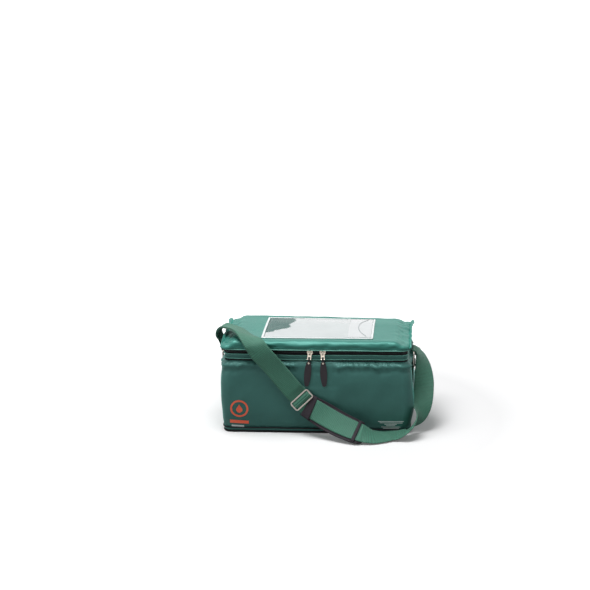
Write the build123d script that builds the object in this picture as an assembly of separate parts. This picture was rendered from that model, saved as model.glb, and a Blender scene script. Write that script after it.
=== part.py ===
from build123d import *
import os
from math import cos, radians, sin

# A soft insulated carrier: coated fabric over foam walls, a padded lid zipped round three sides,
# and a webbing shoulder strap that hangs from two side rings and lies on the ground in front.
# The origin is the centre of the base, +X to the wearer's right of the front, -Y to the front, +Z up.
# All sizes are in millimetres.

# Layers of sewn cloth and padding
fabric = 1.0  # coated shell fabric
lining = 0.8  # wipe-clean liner
tape = 0.8  # zip tape
webbing = 1.6  # strap and tab webbing
seam_gap = 0.2  # between layers that lie on each other
wall_foam_thickness = 12.0
base_foam_thickness = 10.0
board_thickness = 3.0

# Body
body_length = 354.0
body_depth = 186.0
corner_radius = 16.0
base_seam_height = 9.5
belly_low_height = 48.0
belly_low_share = 0.9  # of the full bulge
belly_high_height = 98.0
shoulder_height = 131.0
body_seam_height = 141.5
end_bulge = 2.2
face_bulge = 4.2
shoulder_bulge = 1.0
shoulder_roll = 4.0
shoulder_roll_share = 0.2  # of the roll, reached half way up it
base_edge_radius = 2.0
binding_rounding = 0.8  # share of a binding's proud edge that is rounded
base_binding_height = 4.6
base_binding_proud = 0.7
base_piping_radius = 1.1

# Cavity
cavity_radius = 8.0

# Rim between the body and the zip
rim_inset = 4.6
gusset_thickness = 1.2
rim_binding_top = 148.4
gusset_top = 155.0
welt_radius = 0.8
lower_welt_height = 149.3
upper_welt_height = 154.3
hinge_start_y = 74.0  # where the side zips end and the back gusset starts

# Zip
zip_height = 160.0
coil_height = 2.2
coil_depth = 1.8
coil_edge = 0.6
coil_proud = 0.6
coil_gap = 0.8
end_stop_length = 3.0

# Lid
lid_end_inset = 2.0  # from the body's end to the lid's
lid_face_proud = 2.0  # of the body's front and back
lid_corner_radius = 14.0
lid_seam_height = 165.0
lid_top_height = 181.5
lid_roll_radius = 9.0
lid_roll_overhang = 1.5
lid_valley_height = 177.0
lid_valley_inset = 10.0
lid_shoulder_inset = 26.0
lid_binding_height = 2.4
lid_binding_proud = 0.8
lid_seam_thickness = 2.2
lid_seam_left_top = 180.0  # pressed down under the strap
lid_seam_right_top = 185.0
lid_seam_end_radius = 9.0
lid_seam_end_inset = 5.6

# Document pocket on the lid
pocket_centre_x = 2.0
pocket_length = 211.0
pocket_width = 150.0
pocket_film = 0.5
pocket_trim_width = 4.0
pocket_trim_thickness = 1.1
pocket_flap_length = 44.0
notch_inset = 14.0
notch_depth = 16.0
notch_width = 116.0

# Zip sliders, tabs and pullers
slider_length = 11.0
slider_height = 9.4
slider_corner = 2.6
slider_plate = 1.2
slider_running_gap = 0.3
slider_post_length = 2.4
slider_post_height = 0.5
slider_post_inset = 1.0
bridge_width = 2.4
bridge_opening = 2.2
bridge_wall = 1.1
bridge_foot = 1.1
bridge_corner = 1.4
bridge_drop = 1.4
slider_left_x = -10.0
slider_right_x = 14.0
pull_splay_left = 6.0  # sideways lean of a tab and its puller, in degrees
pull_splay_right = -3.0
tab_bar_radius = 0.75
tab_pitch = 12.5  # between the tab's two bars
tab_width = 7.0
tab_arm = 1.5
tab_thickness = 1.3
tab_lean = 20.0
tab_web_length = 3.4
tab_side_play = 0.3
puller_length = 52.0
puller_thickness = 2.2
puller_neck = 5.0
puller_top_width = 7.6
puller_low_width = 12.0
puller_end_width = 7.0
puller_widest = 36.0
puller_tip_rise = 1.6
puller_lean = 4.0
puller_loop_gap = 0.15
rivet_radius = 1.9
rivet_shank_radius = 0.95
rivet_head = 0.7
rivet_drop = 7.0

# Side rings and their tabs
ring_wire = 3.8
ring_inner_width = 42.0
ring_pitch = 26.0  # between the centres of the ring's two bars
ring_corner_radius = 3.4
ring_bar_gap = 0.1
ring_tab_gap = 0.4  # from the body's end as drawn, whose swell reaches a little further
ring_tab_width = 37.6
ring_tab_length = 34.0
ring_axis_height = 114.0

# Strap
strap_width = 38.0
ply_pitch = 2.1  # between the middles of the strap's two plies
adjuster_length = 44.0
adjuster_width = 20.5
adjuster_thickness = 2.6
adjuster_rail = 2.4
adjuster_bar = 3.4
adjuster_corner = 4.6
rail_lead = 3.4  # from a rail's outer edge to where the webbing lies straight
rail_relief = 0.9
pad_width = 49.0
pad_thickness = 4.0
pad_edge_radius = 1.9
pad_top_share = 0.93  # of the pad's width at its upper end
pad_tail_share = 0.96
pad_tip_share = 0.84
band_margin = 0.4
band_thickness = 1.1
band_edge = 4.0
sewn_lap = 44.0
opening_steps = 5  # stretches over which the two plies part at a ring
route_steps = 3  # stretches between two of the strap's hand-placed points
slot_turn = 0.6  # from a bar's edge to where the webbing bends
right_turn_start = 60.0  # where the webbing meets the right ring's bar, in degrees

# Places that follow from the sizes
half_length = body_length / 2
half_depth = body_depth / 2
lid_length = body_length - 2 * lid_end_inset
lid_depth = body_depth + 2 * lid_face_proud
lid_end = lid_length / 2
lid_front = lid_depth / 2
lid_low = lid_seam_height + seam_gap
shell_inner = fabric + seam_gap
cavity_length = body_length - 2 * (shell_inner + wall_foam_thickness)
cavity_depth = body_depth - 2 * (shell_inner + wall_foam_thickness)
board_bottom = fabric + seam_gap
foam_bottom = board_bottom + board_thickness + seam_gap
cavity_floor = foam_bottom + base_foam_thickness
foam_top = gusset_top
coil_inset = rim_inset - coil_proud
tape_inset = coil_inset + (coil_depth - tape) / 2
coil_low = zip_height - coil_gap / 2 - coil_height
coil_high = zip_height + coil_gap / 2 + coil_height
coil_face_y = -(half_depth - coil_inset)
plate_front_y = coil_face_y - slider_running_gap - slider_plate
tab_axis_y = plate_front_y - bridge_opening / 2
tab_axis_z = zip_height - bridge_drop
ring_bar_radius = ring_wire / 2
ring_tab_face = half_length + end_bulge + ring_tab_gap
ring_tab_inner = ring_bar_radius + ring_bar_gap
ring_axis_x = ring_tab_face + ring_tab_inner + webbing
ring_top_height = ring_axis_height + ring_pitch
turn_radius = ring_bar_radius + seam_gap + webbing / 2
rail_offset = (adjuster_thickness + webbing) / 2 + seam_gap / 2
slot_end = adjuster_width / 2 - adjuster_rail
bar_edge = adjuster_bar / 2
rail_far = adjuster_width / 2 + rail_lead


def keep(node, shape):
    shape.label = node
    export_step(shape, f"parts/{node}.step")


# --- Body outline and shells ------------------------------------------------------------------


def outline(z, inset=0.0, bulge=0.0):
    """The body's plan outline at a height, drawn in by an inset and swelled by a share of the bulges."""
    return Plane.XY.offset(z) * RectangleRounded(
        body_length + 2 * (end_bulge * bulge - inset),
        body_depth + 2 * (face_bulge * bulge - inset),
        corner_radius - inset,
    )


def prism(z_low, z_high, inset=0.0):
    """The body's plain outline, filled from one height to another."""
    return extrude(outline(z_low, inset), z_high - z_low)


def body_form(inset=0.0):
    """The filled body between its two seams: swelled faces, and a rolled shoulder at the top."""
    belly = loft(
        [
            outline(base_seam_height, inset),
            outline(belly_low_height, inset, belly_low_share),
            outline(belly_high_height, inset, 1),
            outline(shoulder_height, inset, shoulder_bulge / face_bulge),
        ]
    )
    roll_middle = (shoulder_height + body_seam_height) / 2
    shoulder = loft(
        [
            outline(shoulder_height, inset, shoulder_bulge / face_bulge),
            outline(roll_middle, inset + shoulder_roll * shoulder_roll_share),
            outline(body_seam_height, inset + shoulder_roll),
        ],
        ruled=True,
    )
    return belly + shoulder


def band(z_low, z_high, inset, thickness):
    """A wall round the whole bag, its outer face drawn in by the inset."""
    return prism(z_low, z_high, inset) - prism(z_low, z_high, inset + thickness)


def behind(y):
    """A block that holds everything behind y."""
    reach = 2 * body_depth
    return Pos(0, y + reach / 2, lid_top_height / 2) * Box(4 * body_length, reach, 2 * lid_top_height)


def zip_side(shape):
    return shape - behind(hinge_start_y)


def back_side(shape):
    return shape & behind(hinge_start_y)


def rim_path(z, inset):
    """An open path round the front and both ends, up to where the back gusset starts."""
    x = half_length - inset
    y = half_depth - inset
    corners = ((-x, hinge_start_y, z), (-x, -y, z), (x, -y, z), (x, hinge_start_y, z))
    return FilletPolyline(*corners, radius=corner_radius - inset)


def cord_along(path, radius):
    return sweep(Plane(origin=path @ 0, z_dir=path % 0) * Circle(radius), path=path)


def make_base():
    skin = fillet(prism(0, base_seam_height).edges().group_by(Axis.Z)[0], base_edge_radius)
    keep("base_skin", skin - prism(fabric, base_seam_height, fabric))
    keep("base_panel", prism(board_bottom, board_bottom + board_thickness, shell_inner))
    binding = extrude(outline(0, -base_binding_proud), base_binding_height)
    binding = fillet(binding.edges().group_by(Axis.Z)[-1], base_binding_proud * binding_rounding)
    binding = fillet(binding.edges().group_by(Axis.Z)[0], base_edge_radius)
    keep("base_binding", binding - skin)
    seam = Plane.XY.offset(base_seam_height) * RectangleRounded(
        body_length + 2 * (base_piping_radius + seam_gap),
        body_depth + 2 * (base_piping_radius + seam_gap),
        corner_radius + base_piping_radius + seam_gap,
    )
    keep("base_piping", cord_along(seam.face().outer_wire(), base_piping_radius))


def make_walls():
    keep("outer_shell", body_form() - body_form(fabric))
    core = (
        prism(foam_bottom, base_seam_height, shell_inner)
        + body_form(shell_inner)
        + prism(body_seam_height, foam_top, rim_inset + gusset_thickness + seam_gap)
    )
    cavity = Pos(0, 0, cavity_floor) * extrude(
        RectangleRounded(cavity_length, cavity_depth, cavity_radius), foam_top
    )
    floor = prism(foam_bottom, cavity_floor, shell_inner) & (
        Pos(0, 0, foam_bottom) * extrude(Rectangle(cavity_length, cavity_depth), base_foam_thickness)
    )
    keep("base_foam", floor)
    walls = core - cavity - floor
    end_block = Box(body_length, cavity_depth, 4 * foam_top)
    keep("left_foam", walls & (Pos(-(cavity_length + body_length) / 2, 0, 0) * end_block))
    keep("right_foam", walls & (Pos((cavity_length + body_length) / 2, 0, 0) * end_block))
    face_block = Box(2 * body_length, body_depth, 4 * foam_top)
    keep("front_foam", walls & (Pos(0, -(cavity_depth + body_depth) / 2, 0) * face_block))
    keep("back_foam", walls & (Pos(0, (cavity_depth + body_depth) / 2, 0) * face_block))


def make_liner():
    outer_floor = cavity_floor + seam_gap
    outer = RectangleRounded(
        cavity_length - 2 * seam_gap, cavity_depth - 2 * seam_gap, cavity_radius - seam_gap
    )
    inner_edge = seam_gap + lining
    inner = RectangleRounded(
        cavity_length - 2 * inner_edge, cavity_depth - 2 * inner_edge, cavity_radius - inner_edge
    )
    flange_low = foam_top + seam_gap
    slider_back = coil_inset + coil_depth + slider_running_gap + slider_plate
    flange = prism(flange_low, flange_low + lining, slider_back + 2 * seam_gap)
    bag = Pos(0, 0, outer_floor) * extrude(outer, flange_low + lining - outer_floor) + flange
    keep("inner_liner", bag - Pos(0, 0, outer_floor + lining) * extrude(inner, body_seam_height))


def make_rim():
    keep("rim_binding", band(body_seam_height, rim_binding_top, shoulder_roll, gusset_thickness))
    gusset = band(rim_binding_top, gusset_top, rim_inset, gusset_thickness)
    keep("rim_gusset", zip_side(gusset))
    for node, height in (("lower_welt", lower_welt_height), ("upper_welt", upper_welt_height)):
        keep(node, cord_along(rim_path(height, rim_inset - welt_radius), welt_radius))
    hinge = band(rim_binding_top, lid_seam_height, rim_inset, gusset_thickness)
    keep("hinge_gusset", back_side(hinge))


# --- Zip --------------------------------------------------------------------------------------


def coil(z_low):
    """One side of the zip's coil, as a bar with rounded edges."""
    path = rim_path(z_low + coil_height / 2, coil_inset + coil_depth / 2)
    start = Plane(origin=path @ 0, x_dir=(1, 0, 0), z_dir=path % 0)
    return sweep(start * RectangleRounded(coil_depth, coil_height, coil_edge), path=path)


def make_zip():
    keep("zip_tape_lower", zip_side(band(gusset_top, coil_low, tape_inset, tape)))
    keep("zip_coil_lower", coil(coil_low))
    keep("zip_tape_upper", zip_side(band(coil_high, lid_seam_height, tape_inset, tape)))
    keep("zip_coil_upper", coil(coil_high - coil_height))
    stop_x = half_length - coil_inset + seam_gap + coil_depth / 2
    stop_y = hinge_start_y - end_stop_length / 2
    stop = Box(coil_depth, end_stop_length, coil_height)
    stops = [Pos(side * stop_x, stop_y, coil_low + coil_height / 2) * stop for side in (-1, 1)]
    keep("zip_end_stops", Compound(children=stops))


# --- Lid --------------------------------------------------------------------------------------

def lid_form(inset=0.0):
    """The padded lid: rolled long edges from one profile, sagging ends from the other."""
    front = lid_front - inset
    low = lid_low
    top = lid_top_height - inset
    roll = lid_roll_radius - inset
    belly = front + lid_roll_overhang
    with BuildSketch(Plane.YZ) as long_profile:
        with BuildLine():
            right_roll = RadiusArc((belly, top - roll), (belly - roll, top), -roll)
            left_roll = RadiusArc((-belly + roll, top), (-belly, top - roll), -roll)
            Line(right_roll @ 1, left_roll @ 0)
            Line(left_roll @ 1, (-front, low))
            Line((-front, low), (front, low))
            Line((front, low), right_roll @ 0)
        make_face()
    end = lid_end - inset
    valley = lid_valley_height - inset
    with BuildSketch(Plane.XZ) as end_profile:
        with BuildLine():
            right_sag = Spline(
                (end, valley),
                (lid_end - lid_valley_inset, valley),
                (lid_end - lid_shoulder_inset, top),
                tangents=((-1, 0), (-1, 0)),
            )
            left_sag = Spline(
                (-lid_end + lid_shoulder_inset, top),
                (-lid_end + lid_valley_inset, valley),
                (-end, valley),
                tangents=((-1, 0), (-1, 0)),
            )
            Line(right_sag @ 1, left_sag @ 0)
            Line(left_sag @ 1, (-end, low))
            Line((-end, low), (end, low))
            Line((end, low), right_sag @ 0)
        make_face()
    along = extrude(long_profile.sketch, lid_length, both=True)
    across = extrude(end_profile.sketch, lid_depth, both=True)
    corners = Pos(0, 0, low) * extrude(
        RectangleRounded(2 * end, 2 * belly, lid_corner_radius - inset), lid_top_height
    )
    return along & across & corners


def lid_opening(z, height):
    """The opening on the lid's underside, inside its seam allowance."""
    mouth = RectangleRounded(
        lid_length - 2 * fabric, lid_depth - 2 * fabric, lid_corner_radius - fabric
    )
    return Pos(0, 0, z) * extrude(mouth, height)


def make_lid():
    keep("lid_skin", lid_form() - lid_form(fabric) - lid_opening(lid_seam_height, fabric + lining))
    foam_low = lid_low + lining + seam_gap
    keep("lid_foam", lid_form(shell_inner) - Box(2 * lid_length, 2 * lid_depth, 2 * foam_low))
    liner = RectangleRounded(
        lid_length - 2 * shell_inner, lid_depth - 2 * shell_inner, lid_corner_radius - shell_inner
    )
    keep("lid_liner", Pos(0, 0, lid_low) * extrude(liner, lining))


def make_lid_edges():
    low = lid_seam_height - lid_binding_height / 2
    outer = RectangleRounded(
        lid_length + 2 * lid_binding_proud, lid_depth + 2 * lid_binding_proud, lid_corner_radius
    )
    wrap = Pos(0, 0, low) * extrude(outer, lid_binding_height)
    wrap = fillet(wrap.edges().group_by(Axis.Z)[0], lid_binding_proud * binding_rounding)
    keep("lid_binding", wrap - lid_opening(low, lid_binding_height) - lid_form())
    reach = lid_front - lid_seam_end_inset
    blade_low = low + lid_binding_height + seam_gap
    shift = lid_end + seam_gap + lid_seam_thickness / 2
    for name, side, top in (("left", -1, lid_seam_left_top), ("right", 1, lid_seam_right_top)):
        blade = Box(lid_seam_thickness, 2 * reach, top - blade_low)
        blade = fillet(blade.edges().filter_by(Axis.X).group_by(Axis.Z)[-1], lid_seam_end_radius)
        keep(f"lid_seam_{name}", Pos(side * shift, 0, (blade_low + top) / 2) * blade)


def make_pocket():
    """Clear document pocket: a window with a curved thumb notch, a short flap over it, welded round."""
    bed = lid_top_height + seam_gap
    left = pocket_centre_x - pocket_length / 2
    right = pocket_centre_x + pocket_length / 2
    inner_width = pocket_width - 2 * pocket_trim_width
    film_right = right - notch_inset
    film = Pos((left + pocket_trim_width + film_right) / 2, 0, bed) * extrude(
        Rectangle(film_right - left - pocket_trim_width, inner_width), pocket_film
    )
    notch_radius = (notch_width**2 / 4 + notch_depth**2) / (2 * notch_depth)
    thumb = Pos(film_right - notch_depth + notch_radius, 0, bed) * extrude(
        Circle(notch_radius), pocket_film
    )
    keep("pocket_window", film - thumb)
    flap_bed = bed + pocket_film + seam_gap / 2
    flap_right = right - pocket_trim_width
    keep(
        "pocket_flap",
        Pos(flap_right - pocket_flap_length / 2, 0, flap_bed)
        * extrude(Rectangle(pocket_flap_length, inner_width), pocket_film),
    )
    trim = RectangleRounded(pocket_length, pocket_width, pocket_trim_width / 2) - Rectangle(
        pocket_length - 2 * pocket_trim_width, inner_width
    )
    keep("pocket_trim", Pos(pocket_centre_x, 0, bed) * extrude(trim, pocket_trim_thickness))


# --- Sliders, tabs and pullers -----------------------------------------------------------------


def slider(x, inner_side):
    """Two plates round the zip, joined by a post at the end that faces the other slider."""
    plate = Box(slider_length, slider_plate, slider_height)
    plate = fillet(plate.edges().filter_by(Axis.Y), slider_corner)
    back_y = coil_face_y + coil_depth + slider_running_gap + slider_plate / 2
    front = Pos(0, plate_front_y + slider_plate / 2, 0) * plate
    back = Pos(0, back_y, 0) * plate
    post_x = inner_side * (slider_length / 2 - slider_post_length / 2 - slider_post_inset)
    post = Pos(post_x, (plate_front_y + back_y) / 2, 0) * Box(
        slider_post_length, back_y - plate_front_y, slider_post_height
    )
    window = bridge_opening + 2 * bridge_foot
    arch = Box(bridge_width, bridge_opening + bridge_wall, window + 2 * bridge_wall)
    arch = fillet(arch.edges().filter_by(Axis.X).group_by(Axis.Y)[0], bridge_corner)
    arch -= Pos(0, bridge_wall / 2, 0) * Box(bridge_width, bridge_opening, window)
    arch = Pos(0, plate_front_y - (bridge_opening + bridge_wall) / 2, -bridge_drop) * arch
    return Pos(x, 0, zip_height) * (front + back + post + arch)


def pull_tab():
    """A metal tab from its top bar, at the origin, to its lower bar, hanging straight down."""
    window_height = (tab_pitch - tab_web_length) / 2
    window = Box(tab_width - 2 * tab_arm, tab_thickness, window_height)
    shift = (tab_web_length + window_height) / 2
    plate = Box(tab_width, tab_thickness, tab_pitch)
    plate = plate - Pos(0, 0, shift) * window - Pos(0, 0, -shift) * window
    bar = Rot(0, 90, 0) * Cylinder(tab_bar_radius, tab_width)
    return Pos(0, 0, -tab_pitch / 2) * plate + bar + Pos(0, 0, -tab_pitch) * bar


def puller():
    """A spade-shaped pull whose upper end loops round the tab's lower bar, at the origin."""
    end = (puller_end_width / 2, puller_tip_rise - puller_length)
    widest = (puller_low_width / 2, -puller_widest)
    top = (puller_top_width / 2, -puller_neck)
    with BuildSketch(Plane.XZ) as spade:
        with BuildLine():
            side = Spline(top, widest, end)
            other = mirror(side, about=Plane.YZ)
            ThreePointArc(side @ 1, (0, -puller_length), other @ 1)
            Line(other @ 0, side @ 0)
        make_face()
    blade = extrude(spade.sketch, puller_thickness / 2, both=True)
    loop_inner = tab_bar_radius + puller_loop_gap
    neck_width = tab_width - 2 * (tab_arm + tab_side_play)
    loop = Rot(0, 90, 0) * Cylinder(loop_inner + puller_thickness / 2, neck_width)
    neck_length = puller_neck + puller_thickness
    neck = Pos(0, 0, -neck_length / 2) * Box(neck_width, puller_thickness, neck_length)
    bore = Rot(0, 90, 0) * Cylinder(loop_inner, tab_width)
    return loop + neck + blade - bore


def make_zip_pulls():
    shank = Pos(0, 0, -rivet_drop) * Rot(90, 0, 0) * Cylinder(rivet_shank_radius, puller_thickness)
    head = Pos(0, 0, -rivet_drop) * Rot(90, 0, 0) * Cylinder(rivet_radius, rivet_head)
    head_y = (puller_thickness + rivet_head) / 2
    rivet = shank + Pos(0, -head_y, 0) * head + Pos(0, head_y, 0) * head
    for name, x, inner_side, splay in (
        ("left", slider_left_x, 1, pull_splay_left),
        ("right", slider_right_x, -1, pull_splay_right),
    ):
        keep(f"slider_{name}", slider(x, inner_side))
        bridge = Pos(x, tab_axis_y, tab_axis_z) * Rot(0, splay, 0)
        tab_hang = bridge * Rot(-tab_lean, 0, 0)
        keep(f"pull_tab_{name}", tab_hang * pull_tab())
        puller_hang = tab_hang * Pos(0, 0, -tab_pitch) * Rot(tab_lean - puller_lean, 0, 0)
        keep(f"puller_{name}", puller_hang * (puller() - shank))
        keep(f"puller_rivet_{name}", puller_hang * rivet)


# --- Side rings -------------------------------------------------------------------------------


def make_rings():
    width = ring_inner_width + ring_wire
    outline_wire = Pos(0, ring_pitch / 2) * RectangleRounded(width, ring_pitch, ring_corner_radius)
    ring = cord_along((Plane.YZ * outline_wire).face().outer_wire(), ring_bar_radius)
    fold = Plane.XZ * (Circle(ring_tab_inner + webbing) - Circle(ring_tab_inner))
    loop = extrude(fold, ring_tab_width / 2, both=True)
    bore = Rot(90, 0, 0) * Cylinder(ring_tab_inner, 2 * ring_tab_width)
    leg = Box(2 * webbing, ring_tab_width, ring_tab_length)
    leg_x = ring_tab_face + webbing - ring_axis_x
    for name, side in (("left", -1), ("right", 1)):
        place = Pos(side * ring_axis_x, 0, ring_axis_height)
        keep(f"ring_{name}", place * ring)
        legs = Pos(side * leg_x, 0, -ring_tab_length / 2) * leg - bore
        keep(f"ring_tab_{name}", place * (loop + legs))


# --- Strap ------------------------------------------------------------------------------------
# The strap's middle line as placed by hand, each point with the direction across the webbing.
# It leaves the left ring, arches over the lid's front corner, hangs down the front to the adjuster,
# runs along the pad to the ground, and climbs to the right ring.


def beside(anchor, *points):
    """Points of the route, each written from the part of the bag that it passes."""
    return [(Vector(*anchor) + Vector(*offset), Vector(*across)) for offset, across in points]


def in_front(*points):
    """Points of the route before the bag: a share of its half length, a way out and a height."""
    return [
        (Vector(share * half_length, -half_depth - out, height), Vector(*across))
        for (share, out, height), across in points
    ]


left_ring_bar = (-ring_axis_x, 0, ring_top_height)
right_ring_bar = (ring_axis_x, 0, ring_top_height)
left_rise = (-ring_axis_x, 0, lid_seam_left_top)
left_lid_corner = (-lid_end, -lid_front, lid_seam_left_top)
right_foot = (half_length, -half_depth, 0)
arch_route = (
    beside(left_ring_bar, ((-3.5, -0.5, 8), (0, 1, 0)))
    + beside(left_rise, ((-12.5, -4, -10), (0.05, 1, 0)))
    + beside(
        left_lid_corner,
        ((-12, 83, 5), (0.35, 1, 0.05)),
        ((3, 73, 9), (0.7, 0.75, -0.15)),
        ((19, 53, 11), (0.82, 0.5, -0.22)),
        ((34, 27, 12), (0.88, 0.4, -0.34)),
        ((48, 3, 10), (0.9, 0.36, -0.25)),
        ((62, -13, 0), (0.92, 0.3, 0.1)),
    )
    + in_front(
        ((-0.576, 18, 164), (0.85, 0.15, 0.45)),
        ((-0.486, 16, 145), (0.8, 0, 0.6)),
        ((-0.401, 14, 126), (0.8, 0, 0.6)),
        ((-0.311, 14, 106), (0.78, 0, 0.62)),
        ((-0.226, 14.5, 88), (0.76, 0, 0.64)),
    )
)
[(adjuster_point, adjuster_across)] = in_front(((-0.141, 15, 71), (0.72, 0.05, 0.69)))
adjuster_heading = Vector(0.68, -0.14, -0.71).normalized()
pad_route = in_front(
    ((-0.017, 20, 55), (0.66, 0.2, 0.7)),
    ((0.124, 27, 42.5), (0.6, 0.35, 0.7)),
    ((0.26, 36, 32.5), (0.5, 0.5, 0.68)),
    ((0.395, 44, 24.5), (0.42, 0.64, 0.62)),
    ((0.497, 48, 19), (0.36, 0.74, 0.52)),
)
ground_route = beside(
    right_foot,
    ((-70, -44, 11.8), (-0.1, 0.9, 0.42)),
    ((-53, -35, 8), (-0.45, 0.85, 0.26)),
    ((-36, -25, 6), (-0.6, 0.78, 0.1)),
    ((-19, -24, 8.5), (-0.4, 0.9, -0.05)),
    ((-2, -23, 17), (-0.15, 0.97, -0.22)),
    ((10, -10, 28), (0.12, 0.97, -0.22)),
    ((19, 9, 40), (0.6, 0.78, -0.12)),
    ((24, 29, 56), (0.9, 0.4, 0.1)),
) + beside(
    right_ring_bar,
    ((20, -44, -68), (1, 0.05, 0.05)),
    ((20.5, -28, -44), (0.88, 0.45, 0)),
    ((19, -15, -24), (0.68, 0.74, -0.15)),
    ((15.5, -6, -11), (0.36, 0.93, -0.13)),
    ((8.5, -1, -1.5), (0.08, 1, -0.02)),
)


def smoothed(route):
    """A Catmull-Rom curve through the route, as (point, across) pairs."""
    points = [point for point, _ in route]
    across = [direction for _, direction in route]
    curve = []
    for i in range(len(route) - 1):
        for k in range(route_steps):
            t = k / route_steps
            curve.append((blend(points, i, t), blend(across, i, t)))
    curve.append((points[-1], across[-1]))
    return curve


def blend(values, i, t):
    """The value at a share t of the way from number i to the next."""
    before = values[i - 1] if i > 0 else values[0] * 2 - values[1]
    start, stop = values[i], values[i + 1]
    after = values[i + 2] if i + 2 < len(values) else stop * 2 - start
    return (
        start * 2
        + (stop - before) * t
        + (before * 2 - start * 5 + stop * 4 - after) * t**2
        + (start * 3 - before - stop * 3 + after) * t**3
    ) * 0.5


def stations(curve, first=None, last=None):
    """Planes square to the curve, x across the webbing and y out of its face."""
    planes = []
    for i, (point, across) in enumerate(curve):
        ahead = curve[min(i + 1, len(curve) - 1)][0]
        back = curve[max(i - 1, 0)][0]
        heading = (ahead - back).normalized()
        if i == 0 and first:
            heading = first
        if i == len(curve) - 1 and last:
            heading = last
        planes.append(Plane(origin=point, x_dir=across - heading * across.dot(heading), z_dir=heading))
    return planes


def lifted(plane, height):
    """The plane moved out of the webbing's face."""
    return Plane(origin=plane.origin + plane.y_dir * height, x_dir=plane.x_dir, z_dir=plane.z_dir)


def ribbon(planes, width=strap_width, thickness=webbing, lift=0.0):
    """A flat strip through the planes."""
    return loft([plane * Pos(0, lift) * Rectangle(width, thickness) for plane in planes], ruled=True)


def turn_point(side, angle):
    """A point of the webbing's middle where it goes round a ring's upper bar, by angle from +X."""
    along = Vector(cos(radians(angle)), 0, sin(radians(angle)))
    return Vector(side * ring_axis_x, 0, ring_top_height) + along * turn_radius


def turn_heading(angle):
    """The way round the bar, anticlockwise seen from the front."""
    return Vector(-sin(radians(angle)), 0, cos(radians(angle)))


def bar_turn(side, start, sweep_angle):
    """The stretch of webbing round a ring's upper bar."""
    flat = Plane(origin=turn_point(side, start), x_dir=(0, 1, 0), z_dir=turn_heading(start))
    bar = Axis((side * ring_axis_x, 0, ring_top_height), (0, -1, 0))
    return revolve(flat * Rectangle(strap_width, webbing), bar, sweep_angle)


adjuster_plane = Plane(
    origin=adjuster_point,
    x_dir=adjuster_across - adjuster_heading * adjuster_across.dot(adjuster_heading),
    z_dir=adjuster_heading,
)


def at_adjuster(along, height):
    """A point of the webbing at the adjuster, by its way along the strap and out of the frame."""
    point = adjuster_plane.origin + adjuster_plane.z_dir * along + adjuster_plane.y_dir * height
    return point, adjuster_plane.x_dir


ring_across = Vector(0, 1, 0)
pad_curve = smoothed(pad_route)
climb_curve = smoothed(pad_route[-1:] + ground_route)[1:]
right_entry = [
    at_adjuster(0, rail_offset),
    at_adjuster(bar_edge + slot_turn, rail_offset),
    at_adjuster(slot_end - slot_turn, -rail_offset),
    at_adjuster(rail_far, -rail_offset - rail_relief),
]
right_frames = stations(
    right_entry + pad_curve + climb_curve + [(turn_point(1, right_turn_start), ring_across)],
    first=adjuster_plane.z_dir,
    last=turn_heading(right_turn_start),
)
pad_frames = right_frames[len(right_entry) - 1 : len(right_entry) + len(pad_curve)]


def second_ply(frames, side):
    """The webbing's return, close behind the first ply but for its last stretch to the ring."""
    opening = 2 * turn_radius - ply_pitch
    last = len(frames) - 1
    planes = []
    for i, plane in enumerate(frames):
        spread = max(0.0, 1 - (last - i) / opening_steps) ** 2
        planes.append(lifted(plane, side * (ply_pitch + opening * spread)))
    return planes


def make_strap():
    outer_entry = [
        at_adjuster(0, rail_offset),
        at_adjuster(-bar_edge - slot_turn, rail_offset),
        at_adjuster(-slot_end + slot_turn, -rail_offset),
        at_adjuster(-rail_far, -rail_offset - rail_relief),
    ]
    outer = stations(
        outer_entry + smoothed(arch_route)[::-1] + [(turn_point(-1, 180), ring_across)],
        first=-adjuster_plane.z_dir,
        last=Vector(0, 0, -1),
    )
    lap_end = stations(
        [
            at_adjuster(bar_edge, -rail_offset),
            at_adjuster(-bar_edge, -rail_offset),
            at_adjuster(-slot_end, -rail_offset - ply_pitch),
        ],
        first=-adjuster_plane.z_dir,
    )
    inner = lap_end[:2] + second_ply(outer[len(outer_entry) - 1 :], 1)
    turn = bar_turn(-1, 180, 180)
    keep("strap_webbing_left", ribbon(outer) + ribbon(inner) + turn)

    tail = [plane for plane in right_frames if plane.origin.Z > ring_top_height - sewn_lap]
    turn = bar_turn(1, right_turn_start, 180)
    keep("strap_webbing_right", ribbon(right_frames) + ribbon(second_ply(tail, 1)) + turn)


def make_adjuster():
    frame = RectangleRounded(adjuster_length, adjuster_width, adjuster_corner)
    slot = Rectangle(adjuster_length - 2 * adjuster_rail, slot_end - bar_edge)
    slot_middle = (slot_end + bar_edge) / 2
    frame -= Pos(0, slot_middle) * slot
    frame -= Pos(0, -slot_middle) * slot
    flat = Plane(origin=adjuster_plane.origin, x_dir=adjuster_plane.x_dir, z_dir=adjuster_plane.y_dir)
    keep("strap_adjuster", flat * extrude(frame, adjuster_thickness / 2, both=True))


def make_pad():
    sink = -(webbing / 2 + seam_gap + pad_thickness / 2)
    middles = len(pad_frames) - 3
    widths = [pad_top_share] + [1] * middles + [pad_tail_share, pad_tip_share]
    sections = [
        plane * Pos(0, sink) * RectangleRounded(pad_width * share, pad_thickness, pad_edge_radius)
        for plane, share in zip(pad_frames, widths)
    ]
    keep("shoulder_pad", loft(sections, ruled=True))
    keep("pad_end_patch", band_over(pad_frames[:2]))
    keep("pad_keeper", band_over(pad_frames[-4:-2]))


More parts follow.
